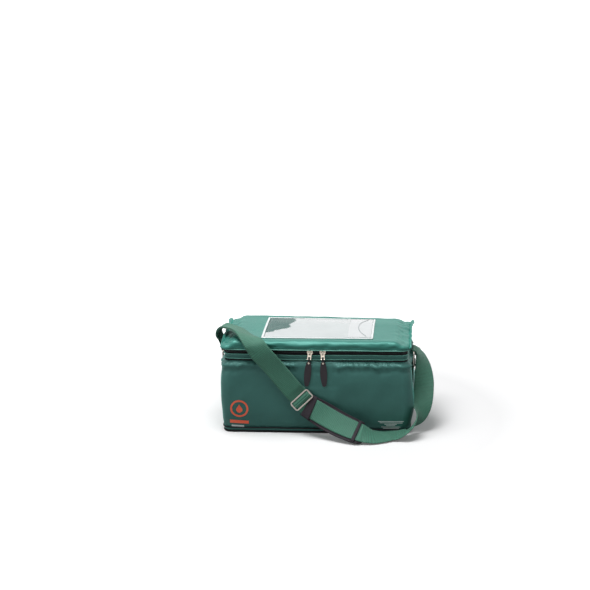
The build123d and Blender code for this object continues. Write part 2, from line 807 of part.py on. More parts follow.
def band_over(frames):
    """A cover sewn to the pad on both sides of the webbing."""
    low = -webbing / 2 - seam_gap / 2
    roof = webbing / 2 + seam_gap
    high = roof + band_thickness
    cover = ribbon(frames, strap_width + 2 * band_edge, high - low, (high + low) / 2)
    deep = low - fabric
    channel = ribbon(frames, strap_width + 2 * band_margin, roof - deep, (roof + deep) / 2)
    return cover - channel


os.makedirs("parts", exist_ok=True)
make_base()
make_walls()
make_liner()
make_rim()
make_zip()
make_lid()
make_lid_edges()
make_pocket()
make_zip_pulls()
make_rings()
make_strap()
make_adjuster()
make_pad()
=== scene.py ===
from math import cos, exp, pi, radians, sin

import bmesh
import bpy
from mathutils import Matrix, Vector, noise


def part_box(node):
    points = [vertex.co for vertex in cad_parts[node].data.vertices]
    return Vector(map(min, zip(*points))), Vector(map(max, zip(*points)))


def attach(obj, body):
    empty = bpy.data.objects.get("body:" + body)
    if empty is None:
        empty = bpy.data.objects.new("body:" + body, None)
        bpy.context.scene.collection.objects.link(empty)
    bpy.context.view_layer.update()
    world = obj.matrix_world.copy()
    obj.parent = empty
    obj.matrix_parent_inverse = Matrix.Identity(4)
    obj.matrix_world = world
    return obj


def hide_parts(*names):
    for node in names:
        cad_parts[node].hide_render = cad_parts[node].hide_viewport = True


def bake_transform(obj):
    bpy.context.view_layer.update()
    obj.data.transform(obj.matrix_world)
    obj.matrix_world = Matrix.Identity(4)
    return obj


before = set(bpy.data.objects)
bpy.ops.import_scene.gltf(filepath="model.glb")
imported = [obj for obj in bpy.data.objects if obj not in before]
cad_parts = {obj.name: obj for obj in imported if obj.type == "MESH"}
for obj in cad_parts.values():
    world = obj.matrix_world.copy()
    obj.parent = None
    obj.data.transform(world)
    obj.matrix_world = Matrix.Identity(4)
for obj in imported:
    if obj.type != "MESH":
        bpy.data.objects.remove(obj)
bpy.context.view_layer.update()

# A soft insulated carrier dressed over its fixed frame. Shapes are worked out in millimetres and
# turned into metres where a mesh is made. +X is to the right of the front, -Y the front, +Z up.

mm = 0.001


def place_of(node):
    """A node's lowest and highest corners, in millimetres."""
    low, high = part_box(node)
    return low / mm, high / mm


def linked(name, data):
    """A new object in the scene."""
    made = bpy.data.objects.new(name, data)
    bpy.context.scene.collection.objects.link(made)
    return made


# --- Camera ------------------------------------------------------------------------------------
# The view was fitted to the corners of the front carrier in the photograph.

frame_pixels = 590
focal_pixels = 1564
camera_distance = 3000.0
camera_elevation = radians(14.92)
camera_yaw = radians(5.05)
camera_roll = radians(-0.84)
camera_target = Vector((-44.4, 0, 246.2))


def make_camera():
    lens = bpy.data.cameras.new("studio_camera")
    lens.sensor_width = 36
    lens.lens = lens.sensor_width * focal_pixels / frame_pixels
    lens.clip_end = 20
    camera = linked("studio_camera", lens)
    level = cos(camera_elevation)
    back = Vector((sin(camera_yaw) * level, -cos(camera_yaw) * level, sin(camera_elevation)))
    turn = (-back).to_track_quat("-Z", "Y").to_matrix() @ Matrix.Rotation(camera_roll, 3, "Z")
    place = (camera_target + back * camera_distance) * mm
    camera.matrix_world = Matrix.Translation(place) @ turn.to_4x4()
    bpy.context.scene.camera = camera


make_camera()

# --- Node trees --------------------------------------------------------------------------------


class Tree:
    """Adds and joins the nodes of one material or group."""

    def __init__(self, tree):
        self.tree = tree

    def fill(self, node, inputs):
        """Links or sets a node's inputs, given by name or number."""
        for name, value in inputs.items():
            if isinstance(value, bpy.types.NodeSocket):
                self.tree.links.new(value, node.inputs[name])
            else:
                node.inputs[name].default_value = value

    def add(self, kind, inputs=None, out=0, **settings):
        """A new node's output, or the node itself when out is None."""
        node = self.tree.nodes.new(kind)
        for name, value in settings.items():
            setattr(node, name, value)
        self.fill(node, inputs or {})
        return node.outputs[out] if out is not None else node

    def math(self, operation, a, b=0.0):
        return self.add("ShaderNodeMath", {0: a, 1: b}, operation=operation)

    def times(self, a, b):
        return self.math("MULTIPLY", a, b)

    def mix(self, share, a, b):
        return self.add("ShaderNodeMix", {"Factor": share, "A": a, "B": b}, data_type="FLOAT")

    def tint(self, share, a, b):
        return self.add("ShaderNodeMix", {0: share, 6: a, 7: b}, 2, data_type="RGBA")

    def span(self, value, low, high, to_low=0.0, to_high=1.0):
        return self.add(
            "ShaderNodeMapRange",
            {"Value": value, "From Min": low, "From Max": high, "To Min": to_low, "To Max": to_high},
        )

    def cloud(self, place, scale, detail, **more):
        return self.add("ShaderNodeTexNoise", {"Vector": place, "Scale": scale, "Detail": detail, **more})

    def split(self, vector):
        return self.add("ShaderNodeSeparateXYZ", {"Vector": vector}, None).outputs


def new_group(name, first, kind, sizes, outputs):
    """A shader group's tree, its Tree, its inputs and its output node. Every input after the first
    is a size with its usual value."""
    tree = bpy.data.node_groups.new(name, "ShaderNodeTree")
    face = tree.interface
    face.new_socket(first, in_out="INPUT", socket_type=kind)
    for label, value in sizes.items():
        face.new_socket(label, in_out="INPUT", socket_type="NodeSocketFloat").default_value = value
    for label in outputs:
        face.new_socket(label, in_out="OUTPUT", socket_type="NodeSocketFloat")
    given = tree.nodes.new("NodeGroupInput").outputs
    return tree, Tree(tree), given, tree.nodes.new("NodeGroupOutput")


def make_weave_group():
    """Plain weave on a UV map in metres: threads over and under, with uneven yarns."""
    sizes = {"Thread": 0.0006, "Uneven": 0.3}
    tree, t, given, out = new_group("plain_weave", "Map", "NodeSocketVector", sizes, ["Height", "Yarn"])
    turns = t.math("DIVIDE", 2 * pi, given["Thread"])
    part = t.split(given["Map"])
    over = t.math("SINE", t.times(part["X"], turns))
    under = t.math("SINE", t.times(part["Y"], turns))
    yarn = t.cloud(given["Map"], 900.0, 2.0)
    height = t.add("ShaderNodeMath", {0: t.times(over, under), 1: 0.5, 2: 0.5}, operation="MULTIPLY_ADD")
    t.fill(out, {"Height": t.mix(given["Uneven"], height, yarn), "Yarn": yarn})
    return tree


def make_rib_group():
    """Webbing on a UV map in metres: ribs across the strap, split into columns of yarn. Shade is painted
    shade, dark in the grooves between the ribs.
    """
    sizes = {"Pitch": 0.0016, "Yarn": 0.0011}
    tree, t, given, out = new_group("webbing_ribs", "Map", "NodeSocketVector", sizes, ["Height", "Shade"])
    part = t.split(given["Map"])
    waver = t.cloud(given["Map"], 220.0, 2.0)
    along = t.math("DIVIDE", part["Y"], given["Pitch"])
    wave = t.math("SINE", t.times(t.math("DIVIDE", part["X"], given["Yarn"]), pi))
    rib = t.math("ABSOLUTE", t.math("SINE", t.times(t.math("ADD", along, t.times(wave, 0.1)), pi)))
    height = t.times(t.math("POWER", rib, 0.6), t.mix(0.35, 1.0, t.math("ABSOLUTE", wave)))
    t.fill(out, {"Height": t.mix(0.2, height, waver), "Shade": t.mix(0.12, height, waver)})
    return tree


def make_life_group():
    """Uneven dye, handling marks and fine grain, from Object coordinates."""
    sizes = {"Cloud": 9.0, "Grain": 600.0}
    outputs = ["Broad", "Fine", "Rub"]
    tree, t, given, out = new_group("surface_life", "Place", "NodeSocketVector", sizes, outputs)
    broad = t.cloud(given["Place"], given["Cloud"], 4.0)
    fine = t.cloud(given["Place"], given["Grain"], 3.0)
    rub = t.cloud(given["Place"], 70.0, 6.0, Roughness=0.7)
    t.fill(out, {"Broad": t.span(broad, 0.3, 0.7), "Fine": fine, "Rub": t.span(rub, 0.52, 0.75)})
    return tree


def make_wear_group():
    """Polished or rubbed edges, broken up so that they don't run evenly."""
    tree, t, given, out = new_group("edge_wear", "Break", "NodeSocketFloat", {"Reach": 0.06}, ["Edge"])
    bare = t.add("ShaderNodeNewGeometry", None, "Pointiness")
    sharp = t.span(bare, 0.5, t.math("ADD", 0.5, given["Reach"]))
    t.fill(out, {"Edge": t.times(sharp, t.span(given["Break"], 0.0, 0.8, 0.5, 1.0))})
    return tree


plain_weave = make_weave_group()
webbing_ribs = make_rib_group()
surface_life = make_life_group()
edge_wear = make_wear_group()

# --- Materials ---------------------------------------------------------------------------------


def rgb(eye):
    """A colour as the eye sees it, 0 to 255, made linear."""
    linear = (c / 255 / 12.92 if c < 10 else ((c / 255 + 0.055) / 1.055) ** 2.4 for c in eye)
    return (*linear, 1.0)


def scaled(colour, factor):
    """A linear colour made lighter or darker."""
    return (*(min(1, factor * c) for c in colour[:3]), 1.0)


def bare_tree(owner):
    """The emptied tree of a material or of the world."""
    owner.use_nodes = True
    owner.node_tree.nodes.clear()
    return Tree(owner.node_tree)


def group(t, tree, **inputs):
    return t.add("ShaderNodeGroup", inputs, None, node_tree=tree).outputs


def bump(t, height, depth):
    return t.add("ShaderNodeBump", {"Height": height, "Distance": depth, "Strength": 1.0})


def new_material(name, **sizes):
    """A material, its Tree, its shader, its coordinates and its surface's life."""
    material = bpy.data.materials.new(name)
    t = bare_tree(material)
    shader = t.add("ShaderNodeBsdfPrincipled", None, None)
    t.add("ShaderNodeOutputMaterial", {"Surface": shader.outputs[0]}, None)
    spot = t.add("ShaderNodeTexCoord", None, None).outputs
    return material, t, shader, spot, group(t, surface_life, Place=spot["Object"], **sizes)


def cloth(name, dark, light, thread=0.0007, roughness=0.45, coat=0.0, coat_roughness=0.3, sheen=0.0):
    """A woven cloth, coated or not: two tones of dye, worn paler where it is rubbed. A cloth with
    sheen also gets stronger highlights in its own hue."""
    material, t, shader, spot, life = new_material(name)
    dark, light = rgb(dark), rgb(light)
    weave = group(t, plain_weave, Map=spot["UV"], Thread=thread)
    worn = group(t, edge_wear, Break=life["Rub"])
    dye = t.tint(t.times(weave["Yarn"], 0.25), t.tint(life["Broad"], dark, light), light)
    hue = [c / max(light[:3]) for c in light[:3]]
    look = {
        "Base Color": t.tint(t.times(worn["Edge"], 0.25), dye, scaled(light, 2)),
        "Roughness": t.span(life["Rub"], 0, 1, roughness, roughness + 0.1),
        "Normal": bump(t, weave["Height"], 0.00005),
        "Coat Weight": coat,
        "Coat Roughness": coat_roughness,
        "Specular IOR Level": 0.75 if sheen else 0.3,
        "Specular Tint": (*(c**0.6 for c in hue), 1.0) if sheen else (1, 1, 1, 1),
        "Sheen Weight": sheen,
        "Sheen Roughness": 0.35,
        "Sheen Tint": (*hue, 1.0),
    }
    t.fill(shader, look)
    return material


def webbing_cloth(name, dark, light, pitch):
    """Ribbed webbing with painted shade in the grooves between its ribs, so lighter on the ribs."""
    material, t, shader, spot, life = new_material(name, Cloud=25.0)
    ribs = group(t, webbing_ribs, Map=spot["UV"], Pitch=pitch)
    # dye here is the painted rib shade: dark in the grooves, light on the ribs.
    dye = t.tint(ribs["Shade"], rgb(dark), rgb(light))
    look = {
        "Base Color": t.tint(t.times(life["Broad"], 0.3), dye, rgb(light)),
        "Roughness": t.span(life["Fine"], 0, 1, 0.5, 0.7),
        "Normal": bump(t, ribs["Height"], 0.0005),
        "Sheen Weight": 0.15,
    }
    t.fill(shader, look)
    return material


def metal(name, colour, roughness):
    """Bright plate with fine rubbing marks, a little lighter on its worn edges."""
    material, t, shader, _, life = new_material(name, Cloud=120.0, Grain=2500.0)
    colour = rgb(colour)
    worn = group(t, edge_wear, Break=life["Rub"], Reach=0.1)
    tone = t.tint(life["Rub"], colour, scaled(colour, 0.7))
    look = {
        "Base Color": t.tint(worn["Edge"], tone, scaled(colour, 1.15)),
        "Roughness": t.span(life["Fine"], 0.2, 0.8, roughness, roughness + 0.15),
        "Normal": bump(t, life["Fine"], 0.00002),
        "Metallic": 1.0,
    }
    t.fill(shader, look)
    return material


def moulded(name, dark, light, roughness, grain=900.0, depth=0.00008, coat=0.0):
    """Plastic, rubber, board, foam, thread or print with a fine grain."""
    material, t, shader, _, life = new_material(name, Cloud=40.0, Grain=grain)
    worn = group(t, edge_wear, Break=life["Rub"])
    tone = t.tint(life["Broad"], rgb(dark), rgb(light))
    look = {
        "Base Color": t.tint(t.times(worn["Edge"], 0.5), tone, rgb(light)),
        "Roughness": t.span(life["Fine"], 0, 1, roughness, roughness + 0.12),
        "Normal": bump(t, life["Fine"], depth),
        "Coat Weight": coat,
    }
    t.fill(shader, look)
    return material


# The window's painted reflection gap, where the cloth's green is painted in place of the white reflection,
# in metres: left of the x limit, and behind a line of the given slope through the turn and the y. Noise tears
# both edges.
reflection_gap_x = -0.05
reflection_gap_y = -0.043
reflection_gap_turn = -0.1
reflection_gap_slope = 0.9
reflection_gap_tear = 0.03
reflection_gap_colour = rgb((52, 104, 98))


def reflection_gap_mask(t, place):
    """1 in the window's painted reflection gap, towards its back left, where the film shows the cloth's green
    instead of its painted white reflection.
    """
    part = t.split(place)
    tear = t.times(t.math("SUBTRACT", t.cloud(place, 45.0, 3.0), 0.5), reflection_gap_tear)
    slope = t.times(t.math("SUBTRACT", part["X"], reflection_gap_turn), reflection_gap_slope)
    behind = t.math("SUBTRACT", t.math("ADD", part["Y"], tear), t.math("ADD", slope, reflection_gap_y))
    left = t.span(t.math("ADD", part["X"], tear), reflection_gap_x, reflection_gap_x - 0.004)
    return t.times(left, t.span(behind, 0.0, 0.003))


def clear_film(name, colour, see_through):
    """Clear vinyl with a painted reflection: a whitish colour, hiding more the flatter it is looked along,
    stands in for the white backdrop it mirrors, except in the painted reflection gap.
    """
    material, t, shader, spot, life = new_material(name, Cloud=18.0)
    facing = t.add("ShaderNodeLayerWeight", {"Blend": 0.5}, 1)
    # flat is the painted reflection gap, which gets the cloth's green at half opacity and no coat. white is
    # the painted reflection of the backdrop.
    flat = reflection_gap_mask(t, spot["Object"])
    white = t.tint(life["Broad"], rgb(colour), scaled(rgb(colour), 0.9))
    painted_reflection_share = t.span(facing, 0.2, 0.85, 1 - see_through, 0.92)
    look = {
        "Base Color": t.tint(flat, white, reflection_gap_colour),
        "Alpha": t.mix(flat, painted_reflection_share, 0.5),
        "Coat Weight": t.math("SUBTRACT", 1.0, flat),
        "Coat Roughness": 0.05,
        "Roughness": t.span(life["Rub"], 0, 1, 0.06, 0.2),
        "Normal": bump(t, life["Broad"], 0.0004),
    }
    t.fill(shader, look)
    return material


bag_cloth = cloth("bag_cloth", (40, 80, 75), (54, 97, 91), roughness=0.42, sheen=0.6)
# The lid's cloth is a lighter copy of the bag's cloth: painted light on the lid's top, which faces the lamps.
lid_cloth_painted_light = cloth(
    "lid_cloth_painted_light", (40, 98, 89), (55, 118, 107), roughness=0.4, coat=0.08, coat_roughness=0.4, sheen=0.5
)
# The welt cloth is painted much lighter than the bag's cloth: painted light on the welt cords and the lid's
# lip, which lie in the lid's shade.
welt_cloth_painted_light = cloth("welt_cloth_painted_light", (88, 152, 138), (112, 178, 163), thread=0.0004, coat=0.2)
black_tape = cloth("black_tape", (7, 8, 11), (15, 16, 20), thread=0.0008, roughness=0.85)
pad_cloth = cloth("pad_cloth", (24, 20, 26), (40, 34, 41), thread=0.0009, roughness=0.7)
# The strap's two tones lie far apart for the painted shade between its ribs.
strap_cloth = webbing_cloth("strap_cloth", (8, 42, 34), (58, 124, 101), 0.003)
thread_green = moulded("thread_green", (40, 96, 76), (66, 132, 106), 0.6, grain=3000.0)
thread_black = moulded("thread_black", (24, 22, 28), (48, 44, 52), 0.6, grain=3000.0)
nickel = metal("nickel", (236, 224, 208), 0.16)
steel = metal("ring_steel", (206, 198, 190), 0.22)
pull_rubber = moulded("pull_rubber", (15, 10, 16), (31, 23, 30), 0.5)
coil_nylon = moulded("coil_nylon", (8, 8, 11), (18, 18, 22), 0.45)
foam = moulded("foam", (205, 212, 216), (225, 230, 232), 0.8, grain=1400.0, depth=0.0003)
board = moulded("board", (96, 96, 98), (120, 120, 122), 0.6)
liner_vinyl = moulded(
    "liner_vinyl", (186, 192, 194), (208, 212, 213), 0.35, grain=300.0, depth=0.0002, coat=0.3
)
# The films' whitish colours are a painted reflection of the white backdrop.
window_film = clear_film("window_film", (196, 202, 203), 0.75)
flap_film = clear_film("flap_film", (206, 210, 212), 0.55)
trim_vinyl = moulded("trim_vinyl", (200, 206, 206), (222, 226, 226), 0.45, coat=0.1)
trim_shadow = moulded("trim_shadow", (96, 112, 112), (126, 140, 140), 0.4)
orange_print = moulded("orange_print", (226, 88, 58), (240, 106, 74), 0.5)
white_print = moulded("white_print", (196, 206, 206), (216, 222, 222), 0.5)

# --- Making meshes -----------------------------------------------------------------------------


def up(z):
    return Vector((0, 0, z))


def lengths(points):
    """The running length at each point of a row."""
    run = [0.0]
    for a, b in zip(points, points[1:]):
        run.append(run[-1] + (b - a).length)
    return run


def walled(piece, thickness):
    wall = piece.modifiers.new("wall", "SOLIDIFY")
    wall.thickness = thickness * mm
    wall.offset = -1
    return piece


def skin(name, rows, material, joined=False, capped=True, double=0.0):
    """A mesh through closed rows of points in millimetres, with a UV map in metres. joined leads the
    last row back to the first; else capped closes its two ends. double gives an open surface that
    thickness on its inner side."""
    count = len(rows[0])
    down = lengths([row[count // 2] for row in (rows + rows[:1] if joined else rows)])
    faces = []
    corners = []
    for i in range(len(down) - 1):
        nxt = (i + 1) % len(rows)
        run = lengths(rows[i] + rows[i][:1])
        for j in range(count):
            k = (j + 1) % count
            faces.append((i * count + j, i * count + k, nxt * count + k, nxt * count + j))
            near, far = run[j], run[j + 1]
            corners += [(near, down[i]), (far, down[i]), (far, down[i + 1]), (near, down[i + 1])]
    if capped and not joined:
        for i in (0, len(rows) - 1):
            faces.append(tuple(range(i * count, (i + 1) * count)))
            corners += [(p.x, p.y) for p in rows[i]]
    mesh = bpy.data.meshes.new(name)
    mesh.from_pydata([p * mm for row in rows for p in row], [], faces)
    layer = mesh.uv_layers.new(name="cloth_map")
    for loop, (u, v) in zip(layer.data, corners):
        loop.uv = (u * mm, v * mm)
    shape = bmesh.new()
    shape.from_mesh(mesh)
    bmesh.ops.remove_doubles(shape, verts=shape.verts, dist=0.02 * mm)
    bmesh.ops.recalc_face_normals(shape, faces=shape.faces)
    for face in shape.faces:
        face.smooth = True
    shape.to_mesh(mesh)
    shape.free()
    mesh.materials.append(material)
    piece = linked(name, mesh)
    return walled(piece, double) if double else piece


def on(piece, body, *nodes):
    """The piece rides on a body and stands for the nodes, which it hides."""
    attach(piece, body)
    if nodes:
        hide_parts(*nodes)
    return piece


def ring_point(part, share, half_x, half_y, radius):
    """A point of a rounded rectangle and the way out of it. Its parts are counted anticlockwise
    from the back: back, back left corner, left, front left corner, front and so on."""
    a = half_x - radius
    b = half_y - radius
    if part % 2:
        centre = ((-a, b), (-a, -b), (a, -b), (a, b))[part // 2]
        angle = radians(90) * (1 + part // 2 + share)
        out = Vector((cos(angle), sin(angle), 0))
        return Vector((centre[0], centre[1], 0)) + out * radius, out
    t = 1 - 2 * share
    spot = ((a * t, half_y), (-half_x, b * t), (-a * t, -half_y), (half_x, -b * t))[part // 2]
    out = ((0, 1), (-1, 0), (0, -1), (1, 0))[part // 2]
    return Vector((spot[0], spot[1], 0)), Vector((out[0], out[1], 0))


def walk(half_x, half_y, radius, step, open_from=None):
    """Stations round a rounded rectangle. With open_from, only round the front, from that y to that y."""
    stations = []
    for part in range(8):
        long = radius * pi / 2 if part % 2 else 2 * ((half_y if part % 4 == 2 else half_x) - radius)
        count = max(6 if part % 2 else 2, round(long / step))
        stations += [(part, k / count) for k in range(count)]
    if open_from is None:
        return stations
    side = half_y - radius
    left = (side - open_from) / (2 * side)
    first, last = (2, left), (6, 1 - left)
    return [first] + [s for s in stations if first < s < last] + [last]


def outline(half_x, half_y, radius, step, open_from=None):
    """The points of a rounded rectangle, each with the way out of it."""
    stations = walk(half_x, half_y, radius, step, open_from)
    return [ring_point(part, share, half_x, half_y, radius) for part, share in stations]


def around(step, open_from=None):
    """The body's outline."""
    return outline(half_length, half_depth, corner_radius, step, open_from)


def wrapped(name, material, section, step=3.0, open_from=None, sway=None):
    """A closed section of (out, z) points carried round the body's outline. sway moves each point."""
    rows = []
    for foot, out in around(step, open_from):
        row = [foot + out * reach + up(z) for reach, z in section]
        rows.append([p + sway(p, out) for p in row] if sway else row)
    return skin(name, rows, material, joined=open_from is None)


def band_section(inset, thickness, low, high, corner=0.3):
    """A flat band's section with eased corners, its outer face drawn in by the inset."""
    out = -inset
    back = out - thickness
    middle = (low + high) / 2
    c = min(corner, thickness / 3)
    return [
        (out, low + c), (out, middle), (out, high - c), (out - c, high), (back + c, high),
        (back, high - c), (back, middle), (back, low + c), (back + c, low), (out - c, low),
    ]


def round_section(out, z, radius, sides=10):
    turns = [2 * pi * k / sides for k in range(sides)]
    return [(out + radius * cos(turn), z + radius * sin(turn)) for turn in turns]


def tube_row(centre, first, second, sides):
    """A ring of points round a centre; first and second are its half axes."""
    turns = [2 * pi * k / sides for k in range(sides)]
    return [centre + first * cos(turn) + second * sin(turn) for turn in turns]


def ease(t):
    t = min(1.0, max(0.0, t))
    return t * t * (3 - 2 * t)


def hump(value, middle, width):
    return exp(-(((value - middle) / width) ** 2))


def rough(x, y, z):
    return noise.noise(Vector((x, y, z)))


# --- Body --------------------------------------------------------------------------------------

base_high = place_of("base_skin")[1]
shell_high = place_of("outer_shell")[1]
rim_low, rim_high = place_of("rim_binding")
gusset_high = place_of("rim_gusset")[1]
hinge_low, hinge_high = place_of("hinge_gusset")
coil_high = place_of("zip_coil_lower")[1]
half_length = base_high.x
half_depth = base_high.y
corner_radius = 16.0
base_seam = base_high.z
body_seam = shell_high.z
end_bulge = shell_high.x - half_length
face_bulge = shell_high.y - half_depth
rim_inset = half_length - gusset_high.x
binding_inset = half_length - rim_high.x
coil_inset = half_length - coil_high.x
zip_end_y = gusset_high.y
cloth_thickness = 1.0
shoulder_height = 131.0
belly_levels = ((base_seam, 0.0), (48.0, 0.9), (98.0, 1.0), (shoulder_height, 0.24), (body_seam, 0.0))
roll_rise = 3.4
roll_width = 4.0
valley_width = 4.5
held_middle = 2.0
held_half_width = 46.0
held_foot = 88.0
swell = 6.6
swell_height = 54.0
tab_foot = 62.0


def belly(z):
    """The share of the full bulge at a height, smooth through the levels."""
    levels = belly_levels
    for i in range(len(levels) - 1):
        (z0, b0), (z1, b1) = levels[i], levels[i + 1]
        if z <= z1:
            before = levels[i - 1] if i else levels[i]
            after = levels[i + 2] if i + 2 < len(levels) else levels[i + 1]
            slope0 = (b1 - before[1]) / (z1 - before[0])
            slope1 = (after[1] - b0) / (after[0] - z0)
            t = (z - z0) / (z1 - z0)
            span = z1 - z0
            return (
                b0 * (1 - t) ** 2 * (1 + 2 * t) + b1 * t * t * (3 - 2 * t)
                + slope0 * span * t * (1 - t) ** 2 - slope1 * span * t * t * (1 - t)
            )
    return levels[-1][1]


def shell_reach(point, out):
    """How far the shell's cloth stands off the plain outline at a point of it, in millimetres: the
    walls' bulge, a gathered roll at the shoulder with a valley under it, and slack panels. The cloth
    lies flat behind the pulls at the front, and swells on the right side below and beside its tab."""
    x, y, z = point
    bulge = face_bulge * abs(out.y) + end_bulge * abs(out.x)
    narrowing = ease((z - shoulder_height) / (body_seam - shoulder_height)) ** 1.6
    plain = bulge * belly(z) - binding_inset * narrowing
    seam = min(ease((z - base_seam) / 10), ease((body_seam - z) / 4))
    gather = 0.5 + 0.5 * rough(x / 15, y / 15, 3.1)
    pleat = rough(x / 6.5, y / 6.5, z / 40 + 8)
    crest = shoulder_height + roll_rise + 3.4 * rough(x / 17, y / 17, 1)
    pinch = max(0.0, 1 - 3.2 * abs(rough(x / 15 + z / 45, y / 15, 5)))
    folds = hump(z, crest, roll_width) * (2.9 + 2.4 * gather + 1.3 * pleat - 3.2 * pinch)
    folds += hump(z, crest - 8 - 6 * gather, valley_width) * (-0.9 + 0.9 * pleat)
    billow = rough(x / 60 + z / 90, y / 60, z / 70)
    drape = rough(x / 26 - z / 34, y / 26, z / 60 + 4)
    crumple = rough(x / 12, y / 12, z / 14)
    low_pull = hump(z, base_seam + 13, 9) * rough(x / 11 + z / 30, y / 11, 14)
    folds += 0.75 + 0.95 * billow + 0.6 * drape + 0.18 * crumple + 0.5 * low_pull
    if out.y < 0:
        held = ease((held_half_width - abs(x - held_middle)) / 16) * ease((z - held_foot) / 8)
        folds += held * (min(folds, 0.1) - folds)
    if out.x > 0:
        tab = ease((z - tab_foot) / 14) * hump(y, 0, 34)
        full = 1 - 0.35 * (y / half_depth) ** 2
        folds += swell * out.x * hump(z, swell_height, 31) * full * (1 - tab)
    return plain + max(-0.8, seam * folds)


def make_shell():
    count = 46
    heights = [base_seam + (body_seam - base_seam) * (k / count) ** 0.85 for k in range(count + 1)]
    rows = []
    for foot, out in around(2.4):
        face = []
        for z in heights:
            spot = foot + up(z)
            face.append(spot + out * shell_reach(spot, out))
        rows.append(face + [p - out * cloth_thickness for p in reversed(face)])
    on(skin("outer_shell_cloth", rows, bag_cloth, joined=True), "carrier", "outer_shell")


def drift(point, out, rise, lean):
    """A slow drift of a sewn edge, up and down by the rise and in and out by the lean."""
    x, y = point.x / 30, point.y / 30
    return up(rise * rough(x, y, 7)) + out * (lean * rough(x, y, 21))


def piping_sway(point, out):
    return drift(point, out, 0.35, 0.175)


def rim_sag(point, out):
    """How the sewn rim hangs: lowest near the middle of the front, with a slow drift all round."""
    sag = -1.7 * hump(point.x, -25, 62) * ease(-out.y) - 0.3
    return up(sag) + drift(point, out, 0.5, 0.2)


def make_base():
    walkway = walk(half_length, half_depth, corner_radius, 4.0)

    def loop(inset, z):
        row = []
        radius = corner_radius * (1 - inset / half_depth)
        for part, share in walkway:
            spot, _ = ring_point(part, share, half_length - inset, half_depth - inset, radius)
            sag = 0.35 * ease(inset / 12) * rough(spot.x / 25, spot.y / 25, 2) if z < 1 else 0.0
            row.append(spot + up(z + abs(sag)))
        return row

    sides = ((0, base_seam), (0, 7), (0, 4), (0, 2.2), (0.3, 1.0), (1.0, 0.25), (2.2, 0))
    rows = [loop(inset, z) for inset, z in sides]
    rows += [loop(inset, 0.0) for inset in (5, 10, 18, 28, 40, 54, 68, 80, half_depth)]
    base = skin("base_cloth", rows, bag_cloth, capped=False, double=cloth_thickness)
    on(base, "carrier", "base_skin")
    high = place_of("base_binding")[1]
    top = high.z
    proud = high.x - half_length
    section = [
        (-1.3, 0.1), (-0.4, 0.0), (proud * 0.7, 0.7), (proud, 2.0), (proud, top - 0.8),
        (proud * 0.7, top - 0.2), (0.05, top), (0.05, 2.2), (-0.25, 1.1), (-1.0, 0.35),
    ]
    on(wrapped("base_binding_tape", black_tape, section, 4.0), "carrier", "base_binding")
    low, high = place_of("base_piping")
    radius = (high.z - low.z) / 2
    section = round_section(radius + 0.2, base_seam, radius)
    piping = wrapped("base_piping_cord", black_tape, section, 4.0, sway=piping_sway)
    on(piping, "carrier", "base_piping")


def make_rim():
    """The black tape at the body's edge, the band of cloth above it, and a cord on each of its edges."""
    edge = rim_low.z + 3.5
    section = band_section(binding_inset, 1.4, rim_low.z - 0.4, edge + 0.8)
    on(wrapped("rim_binding_tape", black_tape, section, sway=rim_sag), "carrier", "rim_binding")
    welt_low, welt_high = place_of("upper_welt")
    radius = (welt_high.z - welt_low.z) / 2 + 0.15
    low_axis = edge + 1.1
    high_axis = gusset_high.z - 0.6
    foot = low_axis - 1.2
    head = high_axis - 0.3
    inner = -rim_inset - 1.0
    section = [
        (-rim_inset - 0.6 * (binding_inset - rim_inset), foot), (-rim_inset + 0.2, low_axis + 1.5),
        (-rim_inset + 0.5, (low_axis + high_axis) / 2), (-rim_inset, head), (inner, head), (inner, foot),
    ]
    on(wrapped("rim_gusset_cloth", bag_cloth, section, 3.0, zip_end_y, rim_sag), "carrier", "rim_gusset")
    # The cords take the welt cloth, painted lighter as painted light.
    for name, axis in (("lower_welt", low_axis), ("upper_welt", high_axis)):
        section = round_section(radius - 0.1 - rim_inset, axis, radius)
        on(wrapped(f"{name}_cord", welt_cloth_painted_light, section, 3.0, zip_end_y, rim_sag), "carrier", name)


def make_hinge():
    """The fabric hinge, from the left end of the zip round the back to its right end."""
    count = 10
    low = rim_low.z + 1.5
    heights = [low + (hinge_high.z - low) * k / count for k in range(count + 1)]
    feet = [(foot, out) for foot, out in around(3.0) if foot.y + 0.01 >= hinge_low.y][::-1]
    start = next(k for k, (foot, _) in enumerate(feet) if foot.x < 0)
    rows = []
    for foot, out in feet[start:] + feet[:start]:
        face = []
        for z in heights:
            free = ease((z - low) / 6) * ease((hinge_high.z - z) / 4)
            slack = 0.35 + 0.5 * rough(foot.x / 26, foot.y / 26, z / 9)
            face.append(foot + out * (-rim_inset + free * slack) + up(z))
        rows.append(face + [p - out * 1.2 for p in reversed(face)])
    hinge = skin("hinge_gusset_cloth", rows, bag_cloth)
    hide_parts("hinge_gusset")
    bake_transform(hinge)


def make_edge_sewing():
    """Rows of thread along the black bindings, round the body's rim and foot."""
    high = place_of("base_binding")[1]
    lines = [
        rim_line(binding_inset, rim_low.z + 1.2, sway=rim_sag),
        rim_line(half_length - high.x, high.z - 1.3),
    ]
    on(stitches("binding_sewing", lines, thread_black), "carrier")


